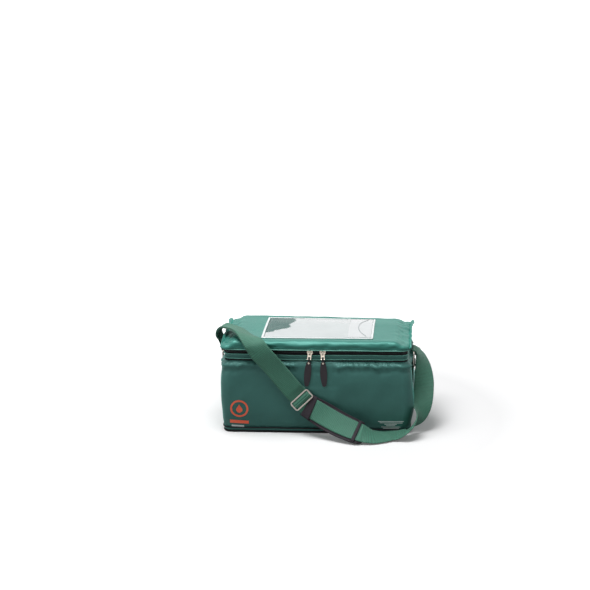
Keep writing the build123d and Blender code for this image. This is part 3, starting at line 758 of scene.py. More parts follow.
def make_liner():
    low, high = place_of("inner_liner")
    foam_high = place_of("base_foam")[1]
    half_x = foam_high.x - 0.2
    half_y = foam_high.y - 0.2
    radius = 7.8
    walkway = walk(half_x, half_y, radius, 4.0)

    def loop(inset, z, life=0.0):
        """A ring of the liner, drawn in by the inset, or spread over the rim by its share below 0."""
        size = (half_x - inset, half_y - inset, radius * (1 - inset / half_y))
        if inset < 0:
            wider, deeper = high.x - half_x, high.y - half_y
            size = (half_x - inset * wider, half_y - inset * deeper, radius - 3 * inset)
        row = []
        for part, share in walkway:
            spot, out = ring_point(part, share, *size)
            crease = life * (rough(spot.x / 22, spot.y / 22, z / 26) - 0.45)
            row.append(spot + out * min(0.0, crease) + up(z))
        return row

    rows = [loop(share, high.z) for share in (-1.0, -0.5, -0.1)]
    rows.append(loop(0.01, high.z - 0.3))
    for k in range(24):
        rows.append(loop(0.02, high.z - 1.5 - (high.z - low.z - 6) * k / 23, 1.6 * ease(k / 4)))
    rows += [loop(inset, low.z + rise) for inset, rise in ((0.5, 2.6), (1.6, 1.2), (3.6, 0.3))]
    rows += [loop(inset, low.z) for inset in (7, 14, 24, 38, 54, 66, half_y)]
    liner = skin("inner_liner_vinyl", rows, liner_vinyl, capped=False, double=0.7)
    on(liner, "carrier", "inner_liner")


# --- Repeats: zip teeth and stitches -----------------------------------------------------------


def make_repeat_tree(name, segments, rings, upright):
    """Small balls set along a line at a pitch, stretched and turned along it, made real and given a
    material."""
    tree = bpy.data.node_groups.new(name, "GeometryNodeTree")
    face = tree.interface
    face.new_socket("Line", in_out="INPUT", socket_type="NodeSocketGeometry")
    sizes = {"Pitch": 0.002, "Long": 0.001, "Wide": 0.001, "High": 0.001, "Uneven": 0.0}
    for label, value in sizes.items():
        face.new_socket(label, in_out="INPUT", socket_type="NodeSocketFloat").default_value = value
    face.new_socket("Seed", in_out="INPUT", socket_type="NodeSocketInt").default_value = 7
    face.new_socket("Finish", in_out="INPUT", socket_type="NodeSocketMaterial")
    face.new_socket("Shapes", in_out="OUTPUT", socket_type="NodeSocketGeometry")
    t = Tree(tree)
    given = tree.nodes.new("NodeGroupInput").outputs
    line = t.add("GeometryNodeMeshToCurve", {"Mesh": given["Line"]})
    even = t.add("GeometryNodeResampleCurve", {"Curve": line, "Length": given["Pitch"]}, mode="LENGTH")
    ball = t.add("GeometryNodeMeshUVSphere", {"Segments": segments, "Rings": rings, "Radius": 0.5})
    size = t.add("ShaderNodeCombineXYZ", {"X": given["Long"], "Y": given["Wide"], "Z": given["High"]})
    turn = t.add(
        "FunctionNodeAlignRotationToVector", {"Vector": t.add("GeometryNodeInputTangent")},
        axis="X", pivot_axis="Z" if upright else "AUTO",
    )
    jitter = t.add("FunctionNodeRandomValue", {"Seed": given["Seed"]}, data_type="FLOAT_VECTOR")
    spread = t.add("ShaderNodeVectorMath", {0: jitter, 1: (0.5, 0.5, 0.5)}, operation="SUBTRACT")
    offset = t.add("ShaderNodeVectorMath", {0: spread, "Scale": given["Uneven"]}, operation="SCALE")
    moved = t.add("GeometryNodeSetPosition", {"Geometry": even, "Offset": offset})
    placed = t.add(
        "GeometryNodeInstanceOnPoints", {"Points": moved, "Instance": ball, "Rotation": turn, "Scale": size}
    )
    real = t.add("GeometryNodeRealizeInstances", {"Geometry": placed})
    done = t.add("GeometryNodeSetMaterial", {"Geometry": real, "Material": given["Finish"]})
    t.add("NodeGroupOutput", {0: done}, None)
    return tree


stitch_tree = make_repeat_tree("stitch_row", 6, 4, False)
tooth_tree = make_repeat_tree("zip_teeth", 8, 6, True)


def repeat_along(name, lines, tree, material, pitch, long, wide, high, uneven=0.0):
    """Shapes along lines of points, all in millimetres, as one plain mesh."""
    verts = []
    edges = []
    for line in lines:
        first = len(verts)
        verts += [p * mm for p in line]
        edges += [(first + k, first + k + 1) for k in range(len(line) - 1)]
    mesh = bpy.data.meshes.new(name)
    mesh.from_pydata(verts, edges, [])
    carrier = linked(name, mesh)
    nodes = carrier.modifiers.new("repeat", "NODES")
    nodes.node_group = tree
    sizes = {"Pitch": pitch, "Long": long, "Wide": wide, "High": high, "Uneven": uneven}
    for item in tree.interface.items_tree:
        if item.name in sizes:
            nodes[item.identifier] = sizes[item.name] * mm
        elif item.name == "Finish":
            nodes[item.identifier] = material
    bpy.context.view_layer.update()
    seen = carrier.evaluated_get(bpy.context.evaluated_depsgraph_get())
    made = bpy.data.meshes.new_from_object(seen)
    made.name = name
    carrier.modifiers.remove(nodes)
    carrier.data = made
    bpy.data.meshes.remove(mesh)
    made.materials.clear()
    made.materials.append(material)
    for face in made.polygons:
        face.use_smooth = True
        face.material_index = 0
    return carrier


def stitches(name, lines, material):
    return repeat_along(name, lines, stitch_tree, material, 3.2, 2.3, 0.6, 0.45, 0.12)


def rim_line(inset, z, open_from=None, sway=None):
    """A line round the body at a height; it closes on itself without open_from."""
    line = []
    for foot, out in around(3.0, open_from):
        point = foot - out * inset + up(z)
        line.append(point + sway(point, out) if sway else point)
    return line if open_from else line + line[:1]


def make_zip():
    """Each half of the zip: its tape, a core for its coil, and the coil's turns. The body's tape goes
    on down behind the rim, and the lid's a little up into the lid."""
    for name, body, below, above in (("lower", "carrier", 5.0, 0.0), ("upper", "lid", 0.0, 1.0)):
        low, high = place_of(f"zip_coil_{name}")
        tape_low, tape_high = place_of(f"zip_tape_{name}")
        section = band_section(half_length - tape_high.x, 0.8, tape_low.z - below, tape_high.z + above, 0.2)
        on(wrapped(f"zip_tape_{name}_cloth", black_tape, section, 3.0, zip_end_y), body, f"zip_tape_{name}")
        section = band_section(coil_inset + 0.5, 0.8, low.z + 0.1, high.z - 0.1, 0.25)
        on(wrapped(f"zip_core_{name}", coil_nylon, section, 3.0, zip_end_y), body, f"zip_coil_{name}")
        depth = 1.8
        tall = high.z - low.z
        line = rim_line(coil_inset + depth / 2, (low.z + high.z) / 2, zip_end_y)
        teeth = repeat_along(f"zip_teeth_{name}", [line], tooth_tree, coil_nylon, 1.5, 1.05, depth, tall)
        on(teeth, body)


# --- Lid ---------------------------------------------------------------------------------------

lid_low, lid_high = place_of("lid_skin")
seam_low, seam_high = place_of("lid_seam_right")
lid_half_length = lid_high.x
lid_overhang = 1.5
lid_half_depth = lid_high.y - lid_overhang
lid_corner = 14.0
lid_top = lid_high.z
lid_roll = 9.0
lid_valley = 174.5
lid_valley_inset = 10.0
lid_shoulder_inset = 26.0
lid_settling = 6.0
end_seam_top = 179.0
ear_middle = 66.0
ear_width = 17.0


def lid_drop(x, y):
    """How far the cushion's top has settled: not at the front, and most at its right back corner."""
    across = ease((x + lid_half_length) / (2 * lid_half_length))
    return lid_settling * ease((y - 20) / 75) * (0.35 + 0.65 * across)


def lid_height(x, y):
    """The cushion's top: level in the middle, sagging to a valley beside each end seam."""
    inset = lid_half_length - abs(x)
    sag = 1 - ease((inset - lid_valley_inset) / (lid_shoulder_inset - lid_valley_inset))
    return lid_top - lid_drop(x, y) - (lid_top - lid_valley) * sag


def lid_loop(inset, rise, walkway):
    """A ring of the lid, drawn in by the inset. rise is its share of the way up, or None on top."""
    row = []
    radius = max(0.01, lid_corner * (1 - max(0, inset) / lid_half_depth))
    for part, share in walkway:
        spot, _ = ring_point(part, share, lid_half_length - inset, lid_half_depth - inset, radius)
        top = lid_height(spot.x, spot.y)
        z = top if rise is None else lid_low.z + (top - lid_low.z) * rise
        row.append(Vector((spot.x, spot.y, z)))
    return row


def lid_life(point, normal):
    """Folds of the lid's cloth: ripples along the rolled edges, and dents beside the ends."""
    x, y, z = point
    side = max(0.0, 1 - normal.z)
    if abs(y) < pocket_high.y + 3 and pocket_low.x - 3 < x < pocket_high.x + 3 and normal.z > 0.5:
        return -0.4 + 0.25 * rough(x / 30, y / 30, 1)
    rise = z - lid_low.z
    near_edge = max(ease((abs(y) - 74) / 16), ease((abs(x) - 140) / 20))
    along = x if abs(y) > abs(x) / 2 else y
    ripple = rough(x / 15, y / 15, z / 5)
    long_fold = rough(x / 38, y / 12, z / 7 + 3)
    lip = hump(rise, 2.6, 1.5) * (0.6 + 0.5 * rough(along / 8, 1, z / 30))
    dip = hump(rise, 5.2 + rough(along / 20, 5, 8), 1.6) * (0.1 + 3.6 * max(0.0, rough(along / 14, 9, 1)))
    puff = hump(rise, 10.5, 4.5) * (0.9 + 1.9 * rough(along / 15, 4, z / 7))
    end = ease((abs(x) - 146) / 12) * (1 - side)
    move = near_edge * (0.6 + 1.1 * long_fold + 0.5 * ripple) + side * (lip - dip + puff)
    move += end * (0.3 + 2.4 * rough(x / 9, y / 20, 5)) + 0.4 * rough(x / 55, y / 55, 2) + 0.15
    if x < 0 and y < 0:
        corner = hump(x, -lid_half_length, 16) * hump(y, -lid_half_depth, 18)
        move += 4.6 * corner * side * ease(rise / 5)
    return max(-0.8, move) * ease(rise / 2.5)


def pushed(rows, life):
    """The rows moved along their own normals by life(point, normal)."""
    moved = []
    count = len(rows[0])
    for i, row in enumerate(rows):
        new = []
        above = rows[min(i + 1, len(rows) - 1)]
        below = rows[max(i - 1, 0)]
        for j, point in enumerate(row):
            around = row[(j + 1) % count] - row[j - 1]
            normal = around.cross(above[j] - below[j])
            normal = normal.normalized() if normal.length > 1e-9 else Vector((0, 0, 1))
            new.append(point + normal * life(point, normal))
        moved.append(new)
    return moved


def make_lid():
    walkway = walk(lid_half_length, lid_half_depth, lid_corner, 3.0)
    long_side = lid_top - lid_roll - lid_low.z
    height = lid_top - lid_low.z
    rows = [lid_loop(-lid_overhang * k / 4, long_side / height * k / 4, walkway) for k in range(5)]
    for k in range(1, 9):
        angle = radians(90) * k / 8
        inset = lid_roll - lid_overhang - lid_roll * cos(angle)
        rows.append(lid_loop(inset, (long_side + lid_roll * sin(angle)) / height, walkway))
    for inset in (9.5, 12, 15, 18, 22, 26, 31, 38, 46, 56, 68, 82, lid_half_depth):
        rows.append(lid_loop(inset, None, walkway))
    # The cover takes the lid's lighter cloth, a painted light.
    cover = skin("lid_cover", pushed(rows, lid_life), lid_cloth_painted_light, capped=False, double=cloth_thickness)
    rounder = cover.modifiers.new("rounder", "SUBSURF")
    rounder.levels = rounder.render_levels = 1
    on(cover, "lid", "lid_skin")


def make_lid_foam():
    """The cushion's filling, a little inside the cover and settled like it."""
    floor_z = place_of("lid_foam")[0].z
    gap = 4.0
    walkway = walk(lid_half_length, lid_half_depth, lid_corner, 6.0)
    sides = ((6, 0.0), (0, 0.0), (-lid_overhang, 0.35), (1, 0.6), (7, 0.9), (13, None))
    rows = [lid_loop(gap + inset, rise, walkway) for inset, rise in sides]
    rows += [lid_loop(inset, None, walkway) for inset in (24, 32, 45, 65, lid_half_depth)]
    for row in rows:
        for point in row:
            point.z = max(floor_z, point.z - gap)
    floor = [Vector((p.x * 0.02, p.y * 0.02, floor_z)) for p in rows[0]]
    on(skin("lid_filling", [floor] + rows, foam, capped=False), "lid", "lid_foam")


def make_lid_liner():
    low, high = place_of("lid_liner")
    corner = lid_corner - 1.2
    walkway = walk(high.x, high.y, corner, 5.0)
    rows = []
    for inset, z in ((0, high.z), *((inset, low.z) for inset in (0, 3, 8, 16, 30, 48, 70, high.y))):
        row = []
        for part, share in walkway:
            spot, _ = ring_point(part, share, high.x - inset, high.y - inset, corner * (1 - inset / high.y))
            slack = ease(inset / 20) * (0.8 + 1.2 * rough(spot.x / 40, spot.y / 40, 6))
            row.append(spot + up(z - max(0.0, slack)))
        rows.append(row)
    on(skin("lid_liner_vinyl", rows, liner_vinyl, capped=False, double=0.5), "lid", "lid_liner")


def make_lid_binding():
    low, high = place_of("lid_binding")
    proud = high.x - lid_half_length + 1.3
    section = (
        (-1.0, low.z + 0.1), (-0.2, low.z), (proud * 0.8, low.z + 0.3), (proud, low.z + 0.9),
        (proud, high.z - 0.6), (proud * 0.6, high.z), (0.1, high.z), (0.1, high.z - 1.0),
        (-1.0, high.z - 1.1),
    )
    rows = []
    for foot, out in outline(lid_half_length, lid_half_depth, lid_corner, 3.0):
        lean = 0.3 * rough(foot.x / 25, foot.y / 25, 12)
        rise = 0.35 * rough(foot.x / 34, foot.y / 34, 17)
        rows.append([foot + out * (reach + lean) + up(z + rise) for reach, z in section])
    # The lip takes the welt cloth, painted lighter as painted light.
    on(skin("lid_binding_tape", rows, welt_cloth_painted_light, joined=True), "lid", "lid_binding")


def make_end_seams():
    """The standing seams at the lid's ends: low at the front, flared out to an ear near the back. The
    left one's ear stands higher, and the right one leans out further."""
    thick = seam_high.x - seam_low.x
    reach = seam_high.y
    steps = 60
    section = ((-0.5, 0), (-0.5, 0.5), (-0.45, 0.92), (-0.2, 1), (0.2, 1), (0.45, 0.92), (0.5, 0.5), (0.5, 0))
    for name, side, ear_height, tilt in (("left", -1, 3.0, 2.0), ("right", 1, 0.9, 4.0)):
        middle = side * (seam_low.x + thick / 2 - 0.6)
        rows = []
        for k in range(steps + 1):
            y = -reach + 2 * reach * k / steps
            end = min(1.0, (reach - abs(y)) / 9)
            ear = hump(y, ear_middle, ear_width)
            top = end_seam_top - 3.6 * ease((y - 10) / 60) - 4.0 * ease((-y - 50) / 35) + ear_height * ear
            top += 1.1 * rough(y / 17, side, 2)
            top -= (top - seam_low.z - 2) * (1 - (1 - (1 - end) ** 2) ** 0.5) * 0.8
            lean = side * (tilt + 1.6 * rough(y / 16, side, 6) + 3.0 * ear)
            row = []
            for across, share in section:
                x = middle + across * thick * (1 + 1.5 * ear * share) + lean * share * share
                row.append(Vector((x, y, seam_low.z + (top - seam_low.z) * share)))
            rows.append(row)
        # The seams take the lid's lighter cloth, a painted light.
        on(skin(f"lid_seam_{name}_cloth", rows, lid_cloth_painted_light), "lid", f"lid_seam_{name}")


# --- Document pocket ---------------------------------------------------------------------------

pocket_low, pocket_high = place_of("pocket_trim")
window_low, window_high = place_of("pocket_window")
flap_low, flap_high = place_of("pocket_flap")
trim_width = window_low.x - pocket_low.x
notch_width = 116.0
notch_depth = 16.0


def film_wave(x, y, amount):
    return amount * (0.5 + 0.5 * rough(x / 38, y / 26, 3))


def plate(name, material, edges, low, thick, wave):
    """A thin sheet that settles with the lid; edges gives its left and right limit at each y. It
    waves in the middle and lies flat near its borders, less so at the right one."""
    rows = []
    across = 30
    for y, left, right in edges:
        top = []
        for k in range(across + 1):
            x = left + (right - left) * k / across
            border = min(x - left, edges[-1][0] - y, y - edges[0][0], abs(right - x) + 4)
            loose = film_wave(x, y, wave) * ease(border / 9)
            top.append(Vector((x, y, low + thick + loose - lid_drop(x, y))))
        rows.append(top + [p - up(thick) for p in reversed(top)])
    return skin(name, rows, material)


def make_films():
    """The window with its thumb notch and the flap over it; gives the notched edge, for the bead along it."""
    width = window_high.y - window_low.y
    notch_radius = (notch_width**2 / 4 + notch_depth**2) / (2 * notch_depth)
    edges = []
    for k in range(41):
        y = window_low.y + width * k / 40
        cut = 0.0
        if abs(y) < notch_width / 2:
            cut = (notch_radius**2 - y**2) ** 0.5 - (notch_radius - notch_depth)
        edges.append((y, window_low.x, window_high.x - cut))
    on(plate("pocket_window_film", window_film, edges, window_low.z, 0.35, 0.5), "lid", "pocket_window")
    flap = [(window_low.y + width * k / 30, flap_low.x, flap_high.x) for k in range(31)]
    on(plate("pocket_flap_film", flap_film, flap, flap_low.z + 0.35, 0.35, 0.4), "lid", "pocket_flap")
    return edges[2:-2]


def make_pocket():
    notched = make_films()
    high = pocket_high.z - pocket_low.z
    centre = Vector(((pocket_high.x + pocket_low.x) / 2, 0, 0))
    section = (
        (0, 0), (0, high * 0.6), (0.35, high * 0.8), (1.2, high), (1.7, high * 0.72), (2.3, high * 0.72),
        (2.8, high), (trim_width - 0.4, high * 0.85), (trim_width, high * 0.5), (trim_width, 0),
    )
    rows = []
    for foot, out in outline((pocket_high.x - pocket_low.x) / 2, pocket_high.y, 2.5, 3.0):
        row = []
        for inset, z in section:
            spot = foot + centre - out * inset
            row.append(spot + up(pocket_low.z + z - lid_drop(spot.x, spot.y)))
        rows.append(row)
    on(skin("pocket_weld", rows, trim_vinyl, joined=True), "lid", "pocket_trim")
    bead = 0.45
    rows = []
    for y, _, right in notched:
        middle = Vector((right, y, flap_high.z + 0.5 + film_wave(right, y, 0.4) - lid_drop(right, y)))
        rows.append(tube_row(middle, Vector((bead, 0, 0)), up(0.6 * bead), 6))
    on(skin("pocket_notch_edge", rows, trim_shadow), "lid")


# --- Shoulder strap ----------------------------------------------------------------------------
# The same route as the solid's, each point with the direction across the webbing.

webbing = 1.6
strap_width = 38.0
ply_pitch = 2.1
ring_low, ring_high = place_of("ring_right")
ring_wire = ring_high.x - ring_low.x
ring_axis_x = (ring_high.x + ring_low.x) / 2
ring_top = ring_high.z - ring_wire / 2
ring_foot = ring_low.z + ring_wire / 2
seam_top = place_of("lid_seam_left")[1].z
arch_route = (
    ((-ring_axis_x - 3.5, -0.5, ring_top + 8), (0, 1, 0)),
    ((-ring_axis_x - 9.5, -4, seam_top - 10), (0.05, 1, 0)),
    ((-185, -12, seam_top + 4.5), (0.35, 1, 0.05)),
    ((-172, -22, seam_top + 9), (0.7, 0.75, -0.15)),
    ((-156, -42, seam_top + 11), (0.82, 0.5, -0.22)),
    ((-141, -68, seam_top + 12), (0.88, 0.4, -0.34)),
    ((-127, -92, seam_top + 10), (0.9, 0.36, -0.25)),
    ((-113, -108, seam_top), (0.92, 0.3, 0.1)),
    ((-102, -111, 164), (0.85, 0.15, 0.45)),
    ((-86, -109, 145), (0.8, 0, 0.6)),
    ((-71, -107, 126), (0.8, 0, 0.6)),
    ((-55, -107, 106), (0.78, 0, 0.62)),
    ((-40, -107.5, 88), (0.76, 0, 0.64)),
)
adjuster_point = Vector((-25, -108, 71))
adjuster_across = Vector((0.72, 0.05, 0.69))
adjuster_heading = Vector((0.68, -0.14, -0.71)).normalized()
pad_route = (
    ((-3, -113, 55), (0.66, 0.2, 0.7)),
    ((22, -120, 42.5), (0.6, 0.35, 0.7)),
    ((46, -129, 32.5), (0.5, 0.5, 0.68)),
    ((70, -137, 24.5), (0.42, 0.64, 0.62)),
    ((88, -141, 19), (0.36, 0.74, 0.52)),
)
ground_route = (
    ((107, -137, 11.8), (-0.1, 0.9, 0.42)),
    ((124, -128, 8), (-0.45, 0.85, 0.26)),
    ((141, -118, 6), (-0.6, 0.78, 0.1)),
    ((158, -117, 8.5), (-0.4, 0.9, -0.05)),
    ((175, -116, 17), (-0.15, 0.97, -0.22)),
    ((187, -103, 28), (0.12, 0.97, -0.22)),
    ((196, -84, 40), (0.6, 0.78, -0.12)),
    ((201, -64, 56), (0.9, 0.4, 0.1)),
    ((ring_axis_x + 20, -44, ring_top - 68), (1, 0.05, 0.05)),
    ((ring_axis_x + 20.5, -28, ring_top - 44), (0.88, 0.45, 0)),
    ((ring_axis_x + 19, -15, ring_top - 24), (0.68, 0.74, -0.15)),
    ((ring_axis_x + 15.5, -6, ring_top - 11), (0.36, 0.93, -0.13)),
    ((ring_axis_x + 8.5, -1, ring_top - 1.5), (0.08, 1, -0.02)),
)
route_steps = 9
turn_radius = ring_wire / 2 + 0.2 + webbing / 2
rail_offset = 2.2
bar_edge = 1.7
slot_turn = 0.6
slot_end = 7.85
rail_far = 13.65
rail_relief = 0.9
ring_across = Vector((0, 1, 0))


def smoothed(route):
    """A Catmull-Rom curve through the route, as (point, across) pairs."""
    values = [[Vector(v) for v in column] for column in zip(*route)]
    curve = []
    for i in range(len(route) - 1):
        for k in range(route_steps):
            curve.append(tuple(between(column, i, k / route_steps) for column in values))
    curve.append((values[0][-1], values[1][-1]))
    return curve


def between(values, i, t):
    before = values[i - 1] if i > 0 else values[0] * 2 - values[1]
    start, stop = values[i], values[i + 1]
    after = values[i + 2] if i + 2 < len(values) else stop * 2 - start
    return (
        start * 2
        + (stop - before) * t
        + (before * 2 - start * 5 + stop * 4 - after) * t**2
        + (start * 3 - before - stop * 3 + after) * t**3
    ) * 0.5


def stations(curve, first=None, last=None):
    """Frames square to the curve: point, across the webbing, and out of its face."""
    frames = []
    for i, (point, across) in enumerate(curve):
        heading = (curve[min(i + 1, len(curve) - 1)][0] - curve[max(i - 1, 0)][0]).normalized()
        if i == 0 and first:
            heading = first
        if i == len(curve) - 1 and last:
            heading = last
        across = (across - heading * across.dot(heading)).normalized()
        frames.append((point, across, heading.cross(across)))
    return frames


def ribbon_rows(frames, width=strap_width):
    """Closed sections of flat webbing with rounded selvedges."""
    section = ((-1, 0.35), (-0.97, 1.12), *((share, 1.0) for share in (-0.8, -0.5, -0.2, 0.2, 0.5, 0.8)))
    section += ((0.97, 1.12), (1, 0.35))
    rows = []
    for point, across, out in frames:
        row = []
        for side, shares in ((1, section), (-1, section[::-1])):
            for share, body in shares:
                row.append(point + across * (width / 2) * share + out * (side * webbing / 2 * body))
        rows.append(row)
    return rows


def at_adjuster(along, height):
    across = (adjuster_across - adjuster_heading * adjuster_across.dot(adjuster_heading)).normalized()
    return adjuster_point + adjuster_heading * along + adjuster_heading.cross(across) * height, across


def around_bar(side, start, sweep):
    """Frames of the webbing round a ring's upper bar."""
    frames = []
    for k in range(13):
        angle = radians(start + sweep * k / 12)
        out = Vector((cos(angle), 0, sin(angle)))
        heading = Vector((-sin(angle), 0, cos(angle)))
        point = Vector((side * ring_axis_x, 0, ring_top)) + out * turn_radius
        frames.append((point, ring_across, heading.cross(ring_across)))
    return frames


def second_ply(frames, stretch):
    """The webbing's return, close behind the first ply but for its last stretch to the ring."""
    opening = 2 * turn_radius - ply_pitch
    last = len(frames) - 1
    planes = []
    for i, (point, across, out) in enumerate(frames):
        spread = max(0.0, 1 - (last - i) / stretch) ** 2
        planes.append((point + out * (ply_pitch + opening * spread), across, out))
    return planes


def merged(name, pieces):
    """Pieces of one sewn thing as one mesh, each with its own material."""
    target = pieces[0]
    whole = bmesh.new()
    for piece in pieces:
        first = len(whole.faces)
        whole.from_mesh(piece.data)
        whole.faces.ensure_lookup_table()
        finish = piece.data.materials[0]
        if finish.name not in target.data.materials:
            target.data.materials.append(finish)
        slot = target.data.materials.find(finish.name)
        for face in whole.faces[first:]:
            face.material_index = slot
    whole.to_mesh(target.data)
    whole.free()
    for piece in pieces[1:]:
        bpy.data.objects.remove(piece)
    target.name = target.data.name = name
    return target


def run_of(frames):
    return sum((b[0] - a[0]).length for a, b in zip(frames, frames[1:]))


def sewn_box(frames, half, lift):
    """Lines of a sewn box with its diagonals, over a run of frames."""
    last = len(frames) - 1
    lines = [[p + a * half * side + o * lift for p, a, o in frames] for side in (-1, 1)]
    lines += [[p + a * half * side + o * lift for side in (-1, 1)] for p, a, o in (frames[0], frames[-1])]
    for turn in (-1, 1):
        slant = [(p, a * half * turn * (2 * i / last - 1), o) for i, (p, a, o) in enumerate(frames)]
        lines.append([p + a + o * lift for p, a, o in slant])
    return lines


def entry(way):
    """The webbing's way in through the adjuster, towards the right for 1 and the left for -1."""
    return [
        at_adjuster(0, rail_offset),
        at_adjuster(way * (bar_edge + slot_turn), rail_offset),
        at_adjuster(way * (slot_end - slot_turn), -rail_offset),
        at_adjuster(way * rail_far, -rail_offset - rail_relief),
    ]


right_entry = entry(1)
right_turn_start = 60
turn_first = radians(right_turn_start)
turn_out = Vector((cos(turn_first), 0, sin(turn_first)))
right_end = (Vector((ring_axis_x, 0, ring_top)) + turn_out * turn_radius, ring_across)
pad_curve = smoothed(pad_route)
climb_curve = smoothed(pad_route[-1:] + ground_route)[1:]
right_frames = stations(
    right_entry + pad_curve + climb_curve + [right_end],
    adjuster_heading,
    Vector((-sin(turn_first), 0, cos(turn_first))),
)
pad_frames = right_frames[len(right_entry) - 1 : len(right_entry) + len(pad_curve) + 2]
lap_stretch = 5 * route_steps / 3
sewn_half = strap_width / 2 - 3


def make_strap_half(side, plies, sewing):
    """The plies of one half of the strap with its sewing, as one piece. Gives it and its flat length."""
    pieces = [skin(f"strap_{side}_{part}", ribbon_rows(frames), strap_cloth) for part, frames in plies]
    pieces.append(stitches(f"strap_{side}_sewing", sewing, thread_green))
    half = merged(f"strap_{side}", pieces)
    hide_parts(f"strap_webbing_{side}")
    return half, sum(run_of(frames) for _, frames in plies)


def make_strap_left():
    """From the adjuster over the lid and round the left ring's bar, and back as a second ply."""
    left_entry = entry(-1)
    left_end = (Vector((-ring_axis_x - turn_radius, 0, ring_top)), ring_across)
    route = left_entry + smoothed(arch_route)[::-1] + [left_end]
    outer = stations(route, -adjuster_heading, up(-1))
    lap = [
        at_adjuster(bar_edge, -rail_offset),
        at_adjuster(-bar_edge, -rail_offset),
        at_adjuster(-slot_end, -rail_offset - ply_pitch),
    ]
    inner = stations(lap, -adjuster_heading)[:2] + second_ply(outer[len(left_entry) - 1 :], lap_stretch)
    sewn = [f for f in outer if ring_top + 9 < f[0].z < ring_top + 34 and f[0].x < -ring_axis_x]
    sewing = sewn_box(sewn, sewn_half, -webbing / 2) + sewn_box(sewn, sewn_half, ply_pitch + webbing / 2)
    plies = (("outer", outer), ("inner", inner), ("turn", around_bar(-1, 180, 180)))
    left, length = make_strap_half("left", plies, sewing)
    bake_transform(left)


def make_strap_right():
    """From the adjuster through the pad and up round the right ring's bar, with a lap behind it."""
    tail = [f for f in right_frames if f[0].z > ring_top - 44]
    sewn = [f for f in right_frames if ring_top - 42 < f[0].z < ring_top - 18 and f[0].x > ring_axis_x]
    sewing = sewn_box(sewn, sewn_half, -webbing / 2)
    edge = strap_width / 2 - 2
    for side in (-1, 1):
        sewing.append([p + a * side * edge + o * webbing / 2 for p, a, o in pad_frames[2:-2]])
    lap = second_ply(tail, lap_stretch)
    turn = around_bar(1, right_turn_start, 180)
    right, _ = make_strap_half("right", (("outer", right_frames), ("lap", lap), ("turn", turn)), sewing)
    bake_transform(right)


pad_width = 49.0
pad_thick = 4.0
pad_sink = -(webbing / 2 + 0.2 + pad_thick / 2)
pad_last = len(pad_frames) - 1


def pad_share(i):
    """The pad's width at a frame, as a share: a little narrower at the adjuster, rounded at its tail."""
    start = min(1.0, 0.93 + 0.07 * i / route_steps)
    tail = min(1.0, (pad_last - i) / 5)
    return start * (0.8 + 0.2 * (1 - (1 - tail) ** 2))


def pad_section(i, full):
    """The pad's section at a frame: a flat cushion with round edges, quilted a little along it."""
    point, across, out = pad_frames[i]
    half = pad_width / 2 * pad_share(i) * full
    plump = pad_thick / 2 * (1.0 + 0.1 * rough(i / 4, 1, 1)) * (0.4 + 0.6 * full)
    row = []
    for k in range(28):
        c, s = cos(2 * pi * k / 28), sin(2 * pi * k / 28)
        wide = half * (abs(c) ** 0.35) * (1 if c > 0 else -1)
        deep = plump * (abs(s) ** 0.6) * (1 if s > 0 else -1)
        row.append(point + across * wide + out * (pad_sink + deep))
    return row


def cover_band(name, node, frames, slant):
    """A strip sewn across the webbing and round the pad's edges; slant pulls one end of its far edge."""
    low = -webbing / 2
    roof = webbing / 2 + 0.25
    half = strap_width / 2 + 4.0
    section = (
        (-1, low), (-0.96, roof), (-0.88, roof + 0.8), (-0.4, roof + 1.0), (0.4, roof + 1.0),
        (0.88, roof + 0.8), (0.96, roof), (1, low), (0.9, low), (0.87, roof), (0, roof), (-0.87, roof),
        (-0.9, low),
    )
    rows = []
    last = len(frames) - 1
    for i, (point, across, out) in enumerate(frames):
        heading = across.cross(out)
        shift = slant * i / last
        rows.append([point + across * half * s + out * rise + heading * shift * s for s, rise in section])
    on(skin(name, rows, pad_cloth), "carrier", node)
    seams = []
    for i in (0, last):
        point, across, out = frames[i]
        heading = across.cross(out)
        back = heading * (1.2 if i == 0 else -1.2)
        shift = slant * i / last
        ends = [across * half * s + heading * shift * s for s in (-0.85, -0.4, 0.4, 0.85)]
        lifts = [roof + up_by for up_by in (0.85, 1.05, 1.05, 0.85)]
        seams.append([point + end + back + out * lift for end, lift in zip(ends, lifts)])
    on(stitches(f"{name}_sewing", seams, thread_black), "carrier")


def make_pad():
    rows = [pad_section(0, 0.9), pad_section(0, 0.98)]
    rows += [pad_section(i, 1.0) for i in range(1, pad_last)]
    rows += [pad_section(pad_last, 0.97), pad_section(pad_last, 0.86)]
    pad = on(skin("shoulder_pad_cover", rows, pad_cloth), "carrier", "shoulder_pad")
    edges = []
    for name, side in (("left", -1), ("right", 1)):
        rows = []
        for i in range(1, pad_last - 1):
            point, across, out = pad_frames[i]
            rim = point + across * side * (pad_width / 2 * pad_share(i) - 1.2) + out * (pad_sink + 0.5)
            rows.append(tube_row(rim, across * 1.6, out * 2.0, 8))
        edges.append(skin(f"pad_edge_{name}", rows, pad_cloth))
    on(merged("pad_edge_piping", edges), "carrier")
    patch = [tuple(a.lerp(b, k / 6) for a, b in zip(pad_frames[0], pad_frames[1])) for k in range(7)]
    cover_band("pad_end_patch_cloth", "pad_end_patch", patch, -3.5)
    keeper = pad_frames[3 * route_steps + 4 : 3 * route_steps + 8]
    cover_band("pad_keeper_cloth", "pad_keeper", keeper, 0.0)


